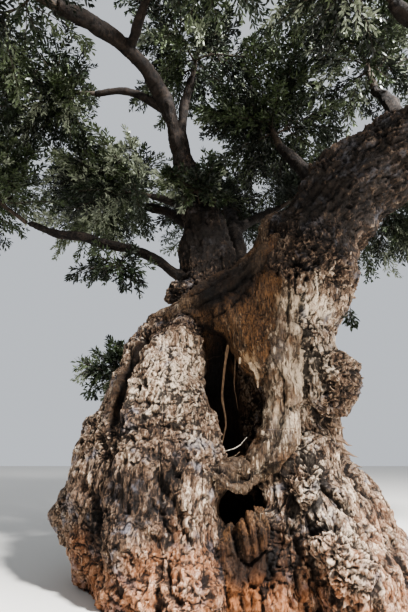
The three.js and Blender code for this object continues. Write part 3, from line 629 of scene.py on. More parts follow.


# Grooves, folds and ribs, drawn as lines over the picture in pixels and cast on to the wood from the camera:
# width and depth in metres (a negative depth stands out), and how much painted shade darkens the groove.
markMaking = {
    "reach": 3,  # a mark counts this many widths from its line
    "stops": 6,  # places that are cast for each stretch
    "leap": 0.25,  # a stretch that is longer on the wood crosses a gap and is left out
    "wander": 0.022, "wanderSize": 0.09,
    "ragged": 0.6, "raggedSize": 0.06, "uneven": 0.5, "unevenSize": 0.12,
    "faint": 0.25, "fading": 0.22,  # strength at the ends, and the share of the line that they take
    # Painted shade in the grooves, and how uneven the patches of painted light and shade are.
    "dark": 0.65, "patchUneven": 0.5, "patchNoise": 0.6,
}
barkMarks = {
    "shoulderBand": [[(126, 318), (135, 328), (143, 338), (152, 348)], 0.032, 0.06, 0.8],
    "shoulderFold": [[(132, 345), (128, 365), (122, 390), (117, 415)], 0.045, 0.05, 0.7],
    "hoodLine": [[(130, 345), (148, 334), (165, 325), (185, 322)], 0.03, 0.04, 0.5],
    "wrinkleHigh": [[(125, 398), (160, 404), (200, 400)], 0.014, 0.014, 0.5],
    "wrinkleMiddle": [[(125, 430), (165, 425), (205, 435)], 0.015, 0.02, 0.55],
    "wrinkleLow": [[(120, 441), (160, 438), (200, 446)], 0.015, 0.02, 0.55],
    "massCrease": [[(150, 462), (160, 480), (176, 505), (192, 545)], 0.03, 0.055, 0.9],
    "massCreaseLow": [[(150, 500), (165, 520), (175, 545)], 0.026, 0.045, 0.8],
    "toeGap": [[(165, 560), (172, 590), (176, 612)], 0.03, 0.05, 0.8],
    "toeEdge": [[(205, 560), (208, 612)], 0.03, 0.05, 0.7],
    "leftFold": [[(75, 480), (95, 500), (100, 540), (95, 580)], 0.035, 0.045, 0.6],
    "leftFoldHigh": [[(98, 430), (108, 460), (112, 500)], 0.03, 0.035, 0.5],
    "massLedge": [[(205, 400), (215, 440), (220, 480)], 0.022, 0.03, 0.6],
    "legGroove": [[(300, 455), (320, 470), (335, 500)], 0.03, 0.05, 0.8],
    "legSide": [[(290, 480), (295, 520), (300, 560), (297, 600)], 0.035, 0.06, 0.9],
    "legCut": [[(340, 505), (356, 518), (370, 530)], 0.024, 0.05, 0.9],
    "legRecess": [[(325, 485), (336, 498), (345, 510)], 0.026, 0.045, 0.8],
    "columnGroove": [[(291, 240), (295, 270), (297, 300)], 0.02, 0.04, 0.8],
    "columnSeam": [[(308, 300), (310, 340), (305, 400)], 0.018, 0.024, 0.6],
    "burlShadow": [[(310, 410), (325, 424), (340, 418)], 0.035, 0.055, 0.9],
    "burlTop": [[(308, 352), (318, 342), (335, 340)], 0.02, 0.025, 0.6],
    "upperBurlShadow": [[(292, 262), (308, 268), (326, 262)], 0.03, 0.04, 0.8],
    "knotCrease": [[(285, 405), (293, 409), (300, 405)], 0.02, 0.03, 0.7],
    "ridgeGroove": [[(192, 308), (225, 292), (262, 262)], 0.024, 0.035, 0.7],
    "ridgeGrooveLow": [[(205, 322), (232, 304), (250, 282)], 0.02, 0.03, 0.6],
    "panelRib": [[(278, 250), (282, 290), (280, 335)], 0.03, -0.03, 0],
    "panelEdgeGroove": [[(288, 262), (290, 300), (286, 345)], 0.02, 0.03, 0.7],
    "rimRib": [[(252, 345), (268, 368), (276, 400), (268, 440), (250, 470)], 0.022, -0.028, 0],
    "rimGroove": [[(262, 340), (280, 372), (286, 410), (276, 450)], 0.018, 0.03, 0.7],
    "rimGrooveInner": [[(246, 356), (260, 380), (265, 410), (256, 444)], 0.016, 0.026, 0.7],
    "lipGroove": [[(222, 478), (240, 482), (258, 470)], 0.018, 0.028, 0.7],
    "lipRib": [[(222, 466), (240, 470), (256, 458)], 0.018, -0.022, 0],
}
# Patches of painted sunlight and shade, and a few darker patches: middle in pixels, radius in metres, share
# (negative paints darker, positive lighter). The lighter ones are painted sunlight on the lit mass, column,
# burl, leg and rim, save splinterLight, the pale split wood; the darker ones are painted shade under the
# crown, in the hollow, under the burl, on the left side of the mass and in the recesses by the foot.
paintedLightAndPatches = {
    "shoulderPaintedShade": [(136, 332), 0.16, -0.8], "hoodPaintedShade": [(165, 322), 0.12, -0.5],
    "massDarkPatch": [(115, 425), 0.15, -0.6], "massDarkPatchLow": [(152, 442), 0.13, -0.5],
    "leftPaintedShade": [(140, 500), 0.24, -0.9], "leftPaintedShadeLow": [(175, 470), 0.16, -0.8],
    "leftPaintedShadeFar": [(95, 540), 0.22, -0.5], "toePaintedShade": [(150, 560), 0.14, -0.4],
    "massPaintedLight": [(172, 370), 0.36, 1.0], "massPaintedLightLow": [(170, 585), 0.16, 0.4],
    "burlPaintedLight": [(325, 368), 0.14, 0.4], "burlPaintedShadow": [(345, 392), 0.2, -0.9],
    "legPaintedLight": [(318, 510), 0.14, 0.8], "legPaintedLightHigh": [(308, 455), 0.22, 0.7],
    "legPaintedShade": [(292, 455), 0.1, -0.5], "legPaintedLightRight": [(350, 560), 0.35, 0.6],
    "columnPaintedLight": [(308, 310), 0.3, 1.3], "columnPaintedLightLow": [(304, 380), 0.26, 1.3],
    "mouthTop": [(224, 345), 0.26, -1.6], "mouthLeft": [(216, 385), 0.2, -1.6],
    "limbPaintedShade": [(360, 150), 1.1, -0.4], "limbPaintedShadeLow": [(315, 205), 0.4, -0.6],
    "ridgePaintedShade": [(205, 292), 0.34, -0.9], "ridgePaintedShadeHigh": [(245, 268), 0.34, -0.9],
    "flankPaintedShade": [(88, 520), 0.3, -0.6], "leaderPaintedShade": [(205, 235), 0.5, -0.9],
    "panelDark": [(235, 285), 0.26, -0.8], "splinterLight": [(248, 360), 0.09, 1.5],
    "rimPaintedLight": [(275, 410), 0.22, 0.7], "lipDarkPatch": [(236, 476), 0.12, -0.5],
    "footPaintedShade": [(238, 555), 0.24, -1.0], "footPaintedShadeRight": [(275, 570), 0.24, -1.0],
}


def castPixel(tree, u, v):
    # Place on the wood that shows at a pixel of the picture.
    hit = tree.ray_cast(Vector(view["eye"]), pixelRay(u, v))[0]
    return np.array(hit) if hit else None


def drawMarks(body, points, slope, marks):
    deselectAll()
    tree = BVHTree.FromObject(body, bpy.context.evaluated_depsgraph_get())
    result = {"height": np.zeros(len(points)), "dark": np.zeros(len(points)), "paintedLightAndPatch": np.zeros(len(points))}
    for path, width, depth, dark in marks.values():
        line = []
        for (u0, v0), (u1, v1) in zip(path, path[1:]):
            for t in np.linspace(0, 1, markMaking["stops"]):
                place = castPixel(tree, u0 + (u1 - u0) * t, v0 + (v1 - v0) * t)
                if place is not None:
                    line.append(place)
        line = np.array(line)
        line += markMaking["wander"] * softBend(line, markMaking["wanderSize"], (74, 75, 76))
        near = nearLine(points, line, markMaking["reach"] * width)
        gap = np.full(len(near), 9.0)
        passed = np.zeros(len(near))
        for number, (a, b) in enumerate(zip(line, line[1:])):
            if np.linalg.norm(b - a) > markMaking["leap"]:
                continue
            edge = b - a
            t = np.clip((points[near] - a) @ edge / max(edge @ edge, 1e-9), 0, 1)
            away = np.linalg.norm(points[near] - a - t[:, None] * edge, axis=1)
            passed = np.where(away < gap, (number + t) / (len(line) - 1), passed)
            gap = np.minimum(gap, away)
        ragged = width * (1 + markMaking["ragged"] * softNoise(points[near], markMaking["raggedSize"], 71))
        fading = (1 - markMaking["faint"]) * smoothStep(0, markMaking["fading"], passed)
        fading = markMaking["faint"] + fading * smoothStep(1, 1 - markMaking["fading"], passed)
        uneven = 1 + markMaking["uneven"] * softNoise(points[near], markMaking["unevenSize"], 77)
        share = np.exp(-(gap / ragged) ** 2) * fading * uneven
        result["height"][near] -= depth * share
        # Painted shade along the groove.
        result["dark"][near] += markMaking["dark"] * dark * share ** 2
    # Patches of painted sunlight and shade, and a few darker patches.
    for (u, v), radius, share in paintedLightAndPatches.values():
        middle = castPixel(tree, u, v)
        if middle is None:
            continue
        gap = np.linalg.norm(points - middle, axis=1) / radius
        patch = softNoise(points, radius * markMaking["patchNoise"], 72)
        gap = gap * (1 + markMaking["patchUneven"] * patch)
        result["paintedLightAndPatch"] += share * np.exp(-gap ** 2)
    report("marks drawn")
    return result


def strandValues(table, strandOfPoint, usual=0.0):
    return np.array([table.get(name, usual) for name in strandNames], float)[strandOfPoint]


def grainPlaces(points, strandOfPoint):
    # Where each point lies on its grain line: seen from the line, along it, and the line's main direction.
    fromAxis, along, way = np.zeros_like(points), np.zeros(len(points)), np.zeros_like(points)
    names = np.array([lineOf.get(name, name) for name in strandNames])[strandOfPoint]
    for index, name in enumerate(sorted(set(names))):
        chain = grainLines.get(name, strands.get(name))
        own = np.flatnonzero(names == name)
        if name in noGrain:
            fromAxis[own] = points[own]
            continue
        _, _, along[own], fromAxis[own] = chainGap(points[own], chain)
        way[own] = unit(chain[-1, :3] - chain[0, :3])
        fromAxis[own] += index * np.array([1.7, 0.9, 2.3])
    return fromAxis, along, way


def carveBark(body, making, relief):
    points = readPoints(body)
    wood = readWood(points, making)
    strand, secondStrand = wood["strand"], wood["secondStrand"]
    fromAxis, along, way = grainPlaces(points, strand)
    bend = relief["warp"] * softBend(points, relief["warpSize"], (35, 36, 37))
    bend += relief["fineWarp"] * softBend(points, relief["fineWarpSize"], (64, 65, 66))

    def inGrain(stretch):
        # Places as they would be if the strand were straight and shortened, so that patterns run along it.
        return fromAxis + bend + way * (along / stretch)[:, None]

    deep = smoothStep(*relief["insideGap"], wood["hollowGap"])
    deep = deep * smoothStep(*relief["insideDepth"], points[:, 1])
    inside = np.maximum(smoothStep(*relief["insideShare"], wood["hollow"]), deep)
    bare = strandValues(bareWood, strand)
    burr = strandValues(burrs, strand)
    bare = np.clip(np.maximum(bare, inside) + 0.3 * softNoise(points, 0.16, 31) * (bare > 0), 0, 1)
    rough = 1 - bare
    # Thin boughs have shallower bark.
    thin = {name: strands[name][:, 3].mean() for name in boughs}
    thin.update({name: relief["leaderThickness"] for name in ("leader", "leaderFlank")})
    thickness = strandValues(thin, strand, relief["trunkThickness"])
    scale = smoothStep(0, 0.22, thickness) * (1 - relief["leastScale"]) + relief["leastScale"]

    # How far away the line is along which two strands meet, and how sharply they meet there.
    angle = np.linalg.norm(wood["nearestWay"] - wood["secondWay"], axis=1)
    meeting = (wood["second"] - wood["nearest"]) / np.maximum(angle, 0.15)
    firm = {name: relief["hardBlend"] / blend for name, blend in making["blends"].items()}
    firmness = np.minimum(strandValues(firm, strand, 1.0), strandValues(firm, secondStrand, 1.0))
    creased = smoothStep(0.2, 0.9, angle) * np.clip(firmness, 0, 1) * scale
    wobble = 1 + 0.6 * softNoise(points, 0.1, 32)
    crease = np.exp(-(meeting / (relief["creaseWidth"] * wobble)) ** 2) * creased

    rope = ridges(inGrain(relief["ropeStretch"]), relief["ropeSize"], 40) ** 2
    furrow = np.clip(ridges(inGrain(relief["furrowStretch"]), relief["furrowSize"], 41) - 0.4, 0, 1) / 0.6
    crest = ridges(inGrain(relief["crestStretch"]), relief["crestSize"], 42)
    steps = softNoise(inGrain(relief["layerStretch"]), relief["layerSize"], 43) * relief["layers"]
    edge = steps - np.floor(steps)
    layer = (np.floor(steps) + smoothStep(0.62, 0.92, edge)) / relief["layers"]
    flakeFirst, flakeSecond, flakeShare = plateCells(inGrain(relief["flakeStretch"]), relief["flakeSize"], 52)
    chip = 1 - smoothStep(0.0, 0.25, flakeSecond - flakeFirst)
    knob, _, _ = plateCells(points + bend * 2, relief["knobSize"], 44)
    domes = 0.45 - knob
    pitFirst, _, pitShare = plateCells(points + bend, relief["pitSize"], 45)
    pit = smoothStep(0.24, 0.05, pitFirst) * (pitShare > 0.5) * rough
    wrinkle = ridges((points + bend) * (1, 1, relief["wrinkleFlat"]), relief["wrinkleSize"], 46)
    wrinkle = np.clip(wrinkle - 0.45, 0, 1) / 0.55
    wrinkled = smoothStep(0.0, 0.4, softNoise(points, 0.55, 47))
    swell = softNoise(inGrain(relief["woodStretch"]), relief["woodSize"], 48)
    swell += 0.5 * softNoise(inGrain(relief["woodStretch"]), relief["woodSize"] * 0.45, 53)
    grain = ridges(inGrain(relief["grainStretch"]), relief["grainSize"], 49)
    rot = softNoise(inGrain(relief["rotStretch"]), relief["rotSize"], 55)

    height = relief["lump"] * softNoise(points, relief["lumpSize"], 50) * (0.4 + 0.6 * rough)
    height += relief["bump"] * softNoise(points, relief["bumpSize"], 51) * (0.3 + 0.7 * rough)
    height += relief["knob"] * domes * np.clip(burr, 0, 1) * rough
    barkHeight = relief["rope"] * (rope - 0.3) - relief["furrow"] * furrow ** 2
    barkHeight += relief["crest"] * (crest ** 1.5 - 0.4) + relief["layer"] * layer
    barkHeight += relief["flake"] * (flakeShare - 0.4 * chip - 0.4)
    barkHeight -= relief["wrinkle"] * wrinkle * wrinkled
    barkHeight -= relief["pit"] * pit
    strength = strandValues(coarse, strand, 1.0)
    height += barkHeight * rough * strength
    grey = strandValues(weathered, strand)
    height += (relief["wood"] * swell - relief["grain"] * grain ** 2) * bare * (1 - inside) * (1 + 0.7 * grey)
    height += relief["dent"] * softNoise(points + bend, relief["dentSize"], 56) * bare * grey
    height += relief["rot"] * rot * inside
    height = height * scale - relief["creaseDepth"] * crease * (1 - 0.6 * inside)
    marks = drawMarks(body, points, wood["slope"], barkMarks)
    height += marks["height"]
    ground = wood["ground"] | (points[:, 2] < 0.002)
    height[ground] = 0
    carved = points + unit(wood["slope"]) * height[:, None]
    carved[:, 2] = np.where(ground, 0, np.maximum(carved[:, 2], 0))
    writePoints(body, carved)

    # Painted shade in the cracks, creases, pits, between the domes and under the ledges, and the darker grain
    # of bare wood; the marks add the painted shade of their grooves.
    dark = crackShadeShares
    barkDark = dark["furrow"] * furrow ** 1.5 + dark["crest"] * (1 - crest) ** 2 + dark["pit"] * pit
    barkDark += dark["chip"] * chip + dark["wrinkle"] * wrinkle * wrinkled
    barkDark += dark["dome"] * np.clip(-domes, 0, 1) * burr
    barkDark += dark["ledge"] * smoothStep(0.5, 0.62, edge) * (edge < 0.8)
    woodDark = dark["grain"] * grain ** 2 + dark["swell"] * np.clip(-swell, 0, 1)
    crackShadeAndGrain = dark["crease"] * crease + rough * barkDark + bare * woodDark + marks["dark"]
    plate = plateShares["flake"] * flakeShare + plateShares["crest"] * crest
    plate += plateShares["rope"] * rope + plateShares["layer"] * layer
    writeAttribute(body, "crackShadeAndGrain", np.clip(crackShadeAndGrain, 0, 1))
    writeAttribute(body, "bare", bare)
    writeAttribute(body, "plate", np.clip(plate, 0, 1))
    # Painted light and shade, with a few darker patches.
    writeAttribute(body, "paintedLightAndPatch", marks["paintedLightAndPatch"])
    writeAttribute(body, "grey", grey * smoothStep(-0.6, 0.1, softNoise(points, 0.2, 73)))
    writeAttribute(body, "inside", inside)
    writeAttribute(body, "thin", 1 - smoothStep(0.08, 0.28, thickness))
    report("bark carved")


carveBark(wood, woodMaking, barkRelief)


def linear(colour):
    # A colour written as it looks, 0xrrggbb, as the shader wants it.
    parts = [(colour >> shift & 255) / 255 for shift in (16, 8, 0)]
    return (*[part / 12.92 if part <= 0.04045 else ((part + 0.055) / 1.055) ** 2.4 for part in parts], 1)


def shaded(colour, factor):
    return (*[min(1, part * factor) for part in colour[:3]], 1)


class Nodes:
    # Shorthand for a material's nodes.
    def __init__(self, name):
        self.material = bpy.data.materials.new(name)
        self.material.use_nodes = True
        self.tree = self.material.node_tree
        self.shader = self.tree.nodes["Principled BSDF"]
        self.place = self.tree.nodes.new("ShaderNodeTexCoord").outputs["Object"]

    def link(self, value, socket):
        if isinstance(value, bpy.types.NodeSocket):
            self.tree.links.new(value, socket)
        else:
            socket.default_value = value

    def attribute(self, name):
        node = self.tree.nodes.new("ShaderNodeAttribute")
        node.attribute_name = name
        return node.outputs["Fac"]

    def noise(self, size, detail=4, roughness=0.6, stretch=(1, 1, 1), place=None):
        mapping = self.tree.nodes.new("ShaderNodeMapping")
        self.tree.links.new(place or self.place, mapping.inputs["Vector"])
        mapping.inputs["Scale"].default_value = stretch
        node = self.tree.nodes.new("ShaderNodeTexNoise")
        self.tree.links.new(mapping.outputs["Vector"], node.inputs["Vector"])
        node.inputs["Scale"].default_value = 1 / size
        node.inputs["Detail"].default_value = detail
        node.inputs["Roughness"].default_value = roughness
        return node.outputs["Fac"]

    def cellShare(self, size, stretch=(1, 1, 1)):
        # A different share for every small cell of a scattering.
        mapping = self.tree.nodes.new("ShaderNodeMapping")
        self.tree.links.new(self.place, mapping.inputs["Vector"])
        mapping.inputs["Scale"].default_value = stretch
        node = self.tree.nodes.new("ShaderNodeTexVoronoi")
        self.tree.links.new(mapping.outputs["Vector"], node.inputs["Vector"])
        node.inputs["Scale"].default_value = 1 / size
        split = self.tree.nodes.new("ShaderNodeSeparateColor")
        self.tree.links.new(node.outputs["Color"], split.inputs[0])
        return split.outputs[0]

    def math(self, operation, a, b=0.0, clamp=False):
        node = self.tree.nodes.new("ShaderNodeMath")
        node.operation = operation
        node.use_clamp = clamp
        self.link(a, node.inputs[0])
        self.link(b, node.inputs[1])
        return node.outputs[0]

    def sum(self, *shares):
        # Adds up values, each times its share.
        total = None
        for value, share in shares:
            part = self.math("MULTIPLY", value, share)
            total = part if total is None else self.math("ADD", total, part)
        return total

    def ramp(self, value, stops):
        node = self.tree.nodes.new("ShaderNodeMapRange")
        node.interpolation_type = "SMOOTHSTEP"
        self.link(value, node.inputs["Value"])
        for name, number in zip(("From Min", "From Max", "To Min", "To Max"), stops):
            node.inputs[name].default_value = number
        return node.outputs["Result"]

    def mix(self, share, a, b, kind="MIX"):
        node = self.tree.nodes.new("ShaderNodeMix")
        node.data_type = "RGBA"
        node.blend_type = kind
        self.link(share, node.inputs["Factor"])
        self.link(linear(a) if isinstance(a, int) else a, node.inputs[6])
        self.link(linear(b) if isinstance(b, int) else b, node.inputs[7])
        return node.outputs[2]

    def bump(self, height, strength, distance, normal=None):
        node = self.tree.nodes.new("ShaderNodeBump")
        node.inputs["Strength"].default_value = strength
        node.inputs["Distance"].default_value = distance
        self.link(height, node.inputs["Height"])
        if normal:
            self.link(normal, node.inputs["Normal"])
        return node.outputs["Normal"]

    def heightAboveGround(self):
        node = self.tree.nodes.new("ShaderNodeSeparateXYZ")
        self.tree.links.new(self.place, node.inputs[0])
        return node.outputs["Z"]


# Noises of the bark: size in metres, detail, roughness, and how often they change along each axis.
barkNoises = {
    "wide": (0.26, 3), "patch": (0.12, 4, 0.6), "mid": (0.026, 5, 0.7, (1, 1, 0.34)),
    "fine": (0.009, 4, 0.8, (1, 1, 0.5)), "streak": (0.05, 4, 0.6, (1, 1, 0.12)), "foot": (0.5, 2),
    "grain": (0.030, 5, 0.65, (2.2, 2.2, 0.22)), "fineGrain": (0.010, 4, 0.7, (1.5, 1.5, 0.15)),
    "pale": (0.05, 5, 0.7, (1.8, 1.8, 0.25)),
}
# Where each change of colour begins and ends, and its share at both.
barkRamps = {
    "high": (2.75, 4.1, 0, 1), "brown": (1.60, 1.88, 0, 1), "tan": (1.84, 2.12, 0, 1),
    "cream": (2.10, 2.34, 0, 1), "sheenWide": (0.50, 0.62, 0, 1), "sheenPatch": (0.45, 0.62, 0, 0.7),
    "wood": (0.40, 0.62, 0, 1), "woodPale": (0.58, 0.70, 0, 0.7), "grey": (0.38, 0.60, 0, 1),
    "greyPale": (0.52, 0.66, 0, 0.9), "foot": (0.6, 1.35, 0.42, 0), "paintedLightAndPatch": (-0.4, -1.4, 0, 0.85),
    "crackShadeAndGrain": (0.2, 0.85, 0, 0.92), "roughness": (0.3, 0.7, 0.66, 0.92),
}
# Share of each pattern in the bark's tone; high up, "highPlate" and "highShift" apply as well, as painted
# shade under the crown that leaves the plates lighter.
barkTones = {
    "flake": 0.36, "mid": 0.75, "plate": 0.32, "fine": 1.15, "patch": 0.85, "streak": 0.5, "paintedLightAndPatch": 0.30,
    "highPlate": 0.55, "highShift": 0.52,
}
# How much the masks count: "high" and "thin" paint the limbs and thin boughs darker as painted shade under
# the crown, "inside" paints the shade in the hollow, and the painted light and patches lighten bare wood a
# little.
barkShares = {
    "highWide": 1.2, "footNoise": 1.3, "high": 0.58, "grain": 0.6, "fineGrain": 0.4, "paleLightAndPatch": 0.12,
    "thin": 0.85, "inside": 0.85,
}
# Bumps: strength, and depth in metres.
barkBumps = {"flake": (0.8, 0.007), "mid": (1.0, 0.014), "fine": (1.0, 0.008)}
flakeCells = (0.017, (1, 1, 0.3))
# Colours of the bark: "high" and the thin boughs' colour are dark grey-brown bark, darkened further as
# painted shade under the crown; the crack colour is painted shade, also used for the darker grain and
# patches; "rot" is near-black painted shade inside the hollow, over dark rotten wood.
barkColours = {
    "dark": 0x31261e, "brown": 0x6b5443, "tan": 0x9c8672, "cream": 0xdecbb5, "sheen": 0x6f7079,
    "crackShadeAndGrain": 0x0d0907, "woodDark": 0x1a110a, "woodLight": 0x785536, "woodPale": 0xa0876a, "foot": 0xbb7444,
    "greyDark": 0x1f1712, "greyLight": 0x66523f, "greyPale": 0xcbb79e,
    "rot": 0x0a0705, "limb": 0x241d18, "high": 0x25211d,
}


def barkMaterial(colours):
    n = Nodes("bark")
    noises = {name: n.noise(*values) for name, values in barkNoises.items()}
    ramps, tones, shares = barkRamps, barkTones, barkShares
    crackShadeAndGrain, paintedLightAndPatch, plate = n.attribute("crackShadeAndGrain"), n.attribute("paintedLightAndPatch"), n.attribute("plate")
    mid, fine, patch = noises["mid"], noises["fine"], noises["patch"]
    flake = n.cellShare(*flakeCells)
    tone = n.sum((flake, tones["flake"]), (mid, tones["mid"]), (plate, tones["plate"]), (fine, tones["fine"]),
                 (patch, tones["patch"]), (noises["streak"], tones["streak"]), (paintedLightAndPatch, tones["paintedLightAndPatch"]))
    height = n.heightAboveGround()
    # High up, the bark is painted darker: painted shade under the crown.
    uneven = n.math("ADD", height, n.math("MULTIPLY", noises["wide"], shares["highWide"]))
    high = n.ramp(uneven, ramps["high"])
    darker = n.math("SUBTRACT", n.math("MULTIPLY", plate, tones["highPlate"]), tones["highShift"])
    tone = n.math("ADD", tone, n.math("MULTIPLY", high, darker))
    bark = n.mix(n.ramp(tone, ramps["brown"]), colours["dark"], colours["brown"])
    bark = n.mix(n.ramp(tone, ramps["tan"]), bark, colours["tan"])
    bark = n.mix(n.ramp(tone, ramps["cream"]), bark, colours["cream"])
    sheen = n.math("MULTIPLY", n.ramp(noises["wide"], ramps["sheenWide"]), n.ramp(patch, ramps["sheenPatch"]))
    bark = n.mix(sheen, bark, colours["sheen"])
    # Painted shade under the crown on the limbs, in the dark grey-brown of their bark.
    bark = n.mix(n.math("MULTIPLY", high, shares["high"]), bark, colours["high"])
    grain = n.sum((noises["grain"], shares["grain"]), (noises["fineGrain"], shares["fineGrain"]))
    smooth = n.mix(n.ramp(grain, ramps["wood"]), colours["woodDark"], colours["woodLight"])
    pale = n.math("ADD", noises["pale"], n.math("MULTIPLY", paintedLightAndPatch, shares["paleLightAndPatch"]))
    smooth = n.mix(n.ramp(pale, ramps["woodPale"]), smooth, colours["woodPale"])
    grey = n.mix(n.ramp(grain, ramps["grey"]), colours["greyDark"], colours["greyLight"])
    grey = n.mix(n.ramp(pale, ramps["greyPale"]), grey, colours["greyPale"])
    smooth = n.mix(n.attribute("grey"), smooth, grey)
    colour = n.mix(n.attribute("bare"), bark, smooth)
    foot = n.math("ADD", height, n.math("MULTIPLY", noises["foot"], shares["footNoise"]))
    colour = n.mix(n.ramp(foot, ramps["foot"]), colour, colours["foot"])
    # Thin boughs get dark grey-brown bark, darkened as painted shade under the crown.
    colour = n.mix(n.math("MULTIPLY", n.attribute("thin"), shares["thin"]), colour, colours["limb"])
    # Painted shade from the darker patches.
    colour = n.mix(n.ramp(paintedLightAndPatch, ramps["paintedLightAndPatch"]), colour, colours["crackShadeAndGrain"])
    # Painted shade in cracks, creases and grooves, with the darker grain of bare wood.
    colour = n.mix(n.ramp(crackShadeAndGrain, ramps["crackShadeAndGrain"]), colour, colours["crackShadeAndGrain"])
    # Near-black painted shade inside the hollow, over its dark rotten wood.
    colour = n.mix(n.math("MULTIPLY", n.attribute("inside"), shares["inside"]), colour, colours["rot"])
    n.link(colour, n.shader.inputs["Base Color"])
    n.link(n.ramp(mid, ramps["roughness"]), n.shader.inputs["Roughness"])
    normal = n.bump(flake, *barkBumps["flake"])
    normal = n.bump(mid, *barkBumps["mid"], normal)
    n.link(n.bump(fine, *barkBumps["fine"], normal), n.shader.inputs["Normal"])
    n.shader.inputs["Specular IOR Level"].default_value = 0.3
    return n.material


wood.data.materials.clear()
wood.data.materials.append(barkMaterial(barkColours))
selectOnly(wood)
bpy.ops.object.shade_smooth()


# The wood is cut into closed pieces inside these boxes, one after the other; what is left is the last piece.
woodPieces = {
    "trunk_left": [(-2.5, -2, -1), (-0.35, 2, 2.9), ["trunk"]],
    "trunk_right": [(0.75, -2, -1), (4, 2, 2.9), ["trunk"]],
    "trunk_front_low": [(-0.36, -2, -1), (0.76, -0.02, 1.25), ["trunk"]],
    "trunk_front_high": [(-0.36, -2, 1.24), (0.76, -0.02, 2.9), ["trunk"]],
    "trunk_back": [(-0.36, -0.03, -1), (0.76, 2, 2.9), ["trunk"]],
    "right_limb_bark": [(0.66, -3, 2.8), (6, 0.55, 8),
                        ["right_limb", "centre_bough", "right_middle_bough", "right_back_bough",
                         "right_top_bough", "right_front_bough", "right_outer_bough"]],
}
upperNodes = ["leader", "left_arch_bough", "left_side_bough", "left_low_bough", "left_inner_bough",
              "top_bough", "front_bough", "back_bough", "back_left_bough", "back_right_bough"]


def cutPiece(body, name, low, high):
    deselectAll()
    middle = (np.array(low) + high) / 2
    bpy.ops.mesh.primitive_cube_add(size=1, location=middle)
    box = bpy.context.object
    box.scale = np.array(high) - low
    bpy.ops.object.transform_apply(location=True, rotation=False, scale=True)
    box.data.materials.append(body.data.materials[0])
    piece = body.copy()
    piece.data = body.data.copy()
    piece.name = name
    bpy.context.scene.collection.objects.link(piece)
    applyModifier(piece, "BOOLEAN", operation="INTERSECT", solver="MANIFOLD", object=box)
    applyModifier(body, "BOOLEAN", operation="DIFFERENCE", solver="MANIFOLD", object=box)
    bpy.data.objects.remove(box)
    return piece


def finishWood(piece, nodes):
    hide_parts(*nodes)
    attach(piece, "root")
    triangles = sum(len(face.vertices) - 2 for face in piece.data.polygons)
    report(f"{piece.name}: {triangles} triangles")


for name, (low, high, nodes) in woodPieces.items():
    finishWood(cutPiece(wood, name, low, high), nodes)
wood.name = "leader_and_boughs"
finishWood(wood, upperNodes)


def tubes(paths, radii, sides):
    # Closed tapering tubes round many paths of equal numbers of points.
    count, steps = paths.shape[:2]
    tangents = unit(np.gradient(paths, axis=1))
    helper = np.where(np.abs(tangents[:, :1, 2:]) > 0.9, [1.0, 0, 0], [0, 0, 1.0])
    across = unit(np.cross(helper, tangents))
    other = np.cross(tangents, across)
    angles = np.arange(sides) / sides * 2 * math.pi
    ring = (across[:, :, None] * np.cos(angles)[:, None] + other[:, :, None] * np.sin(angles)[:, None])
    points = paths[:, :, None] + ring * radii[:, :, None, None]
    a = (np.arange(steps - 1)[:, None] * sides + np.arange(sides)).ravel()
    b = (np.arange(steps - 1)[:, None] * sides + (np.arange(sides) + 1) % sides).ravel()
    faces = [np.stack([a, b, b + sides], 1), np.stack([a, b + sides, a + sides], 1)]
    fan = np.arange(1, sides - 1)
    last = (steps - 1) * sides
    faces.append(np.stack([0 * fan, fan + 1, fan], 1))
    faces.append(np.stack([last + 0 * fan, last + fan, last + fan + 1], 1))
    faces = np.concatenate(faces)
    faces = (faces[None] + (np.arange(count) * steps * sides)[:, None, None]).reshape(-1, 3)
    return points.reshape(-1, 3), faces


def joinMeshes(parts):
    points, faces, first = [], [], 0
    for somePoints, someFaces in parts:
        points.append(somePoints)
        faces.append(someFaces + first)
        first += len(somePoints)
    return np.concatenate(points), np.concatenate(faces)


def trianglePiece(name, points, faces):
    mesh = bpy.data.meshes.new(name)
    mesh.vertices.add(len(points))
    mesh.vertices.foreach_set("co", points.astype(np.float32).ravel())
    mesh.loops.add(faces.size)
    mesh.loops.foreach_set("vertex_index", faces.astype(np.int32).ravel())
    mesh.polygons.add(len(faces))
    mesh.polygons.foreach_set("loop_start", np.arange(0, faces.size, 3, dtype=np.int32))
    mesh.update(calc_edges=True)
    mesh.validate()
    piece = bpy.data.objects.new(name, mesh)
    bpy.context.scene.collection.objects.link(piece)
    return piece


# Small things that hang and stand out: each is a path of pixels at a depth (y, in metres), its first and last
# radius, and a colour.
smallWood = {
    "hollow_string": [[(228, 345), (224, 370), (222, 398), (226, 424), (221, 452)], -0.28, (0.016, 0.006),
                      0x8a6f55],
    "hollow_string_thin": [[(236, 350), (234, 385), (238, 410)], -0.25, (0.009, 0.003), 0x6b543f],
    "hollow_twig": [[(212, 462), (222, 453), (233, 449), (240, 445), (247, 437)], -0.5, (0.006, 0.003),
                    0xe6dccb],
    "hollow_twig_low": [[(240, 452), (232, 458), (222, 462)], -0.42, (0.005, 0.003), 0xa58f77],
    "splinter_left": [[(238, 338), (241, 350), (240, 364)], -0.44, (0.05, 0.008), 0xc4ad90],
    "splinter_middle": [[(247, 340), (250, 354), (255, 370)], -0.48, (0.052, 0.008), 0xd2bfa5],
    "splinter_right": [[(258, 346), (262, 362), (260, 378)], -0.5, (0.045, 0.006), 0xb0977a],
    "splinter_low": [[(250, 362), (257, 374), (258, 388)], -0.5, (0.035, 0.006), 0xbca488],
}
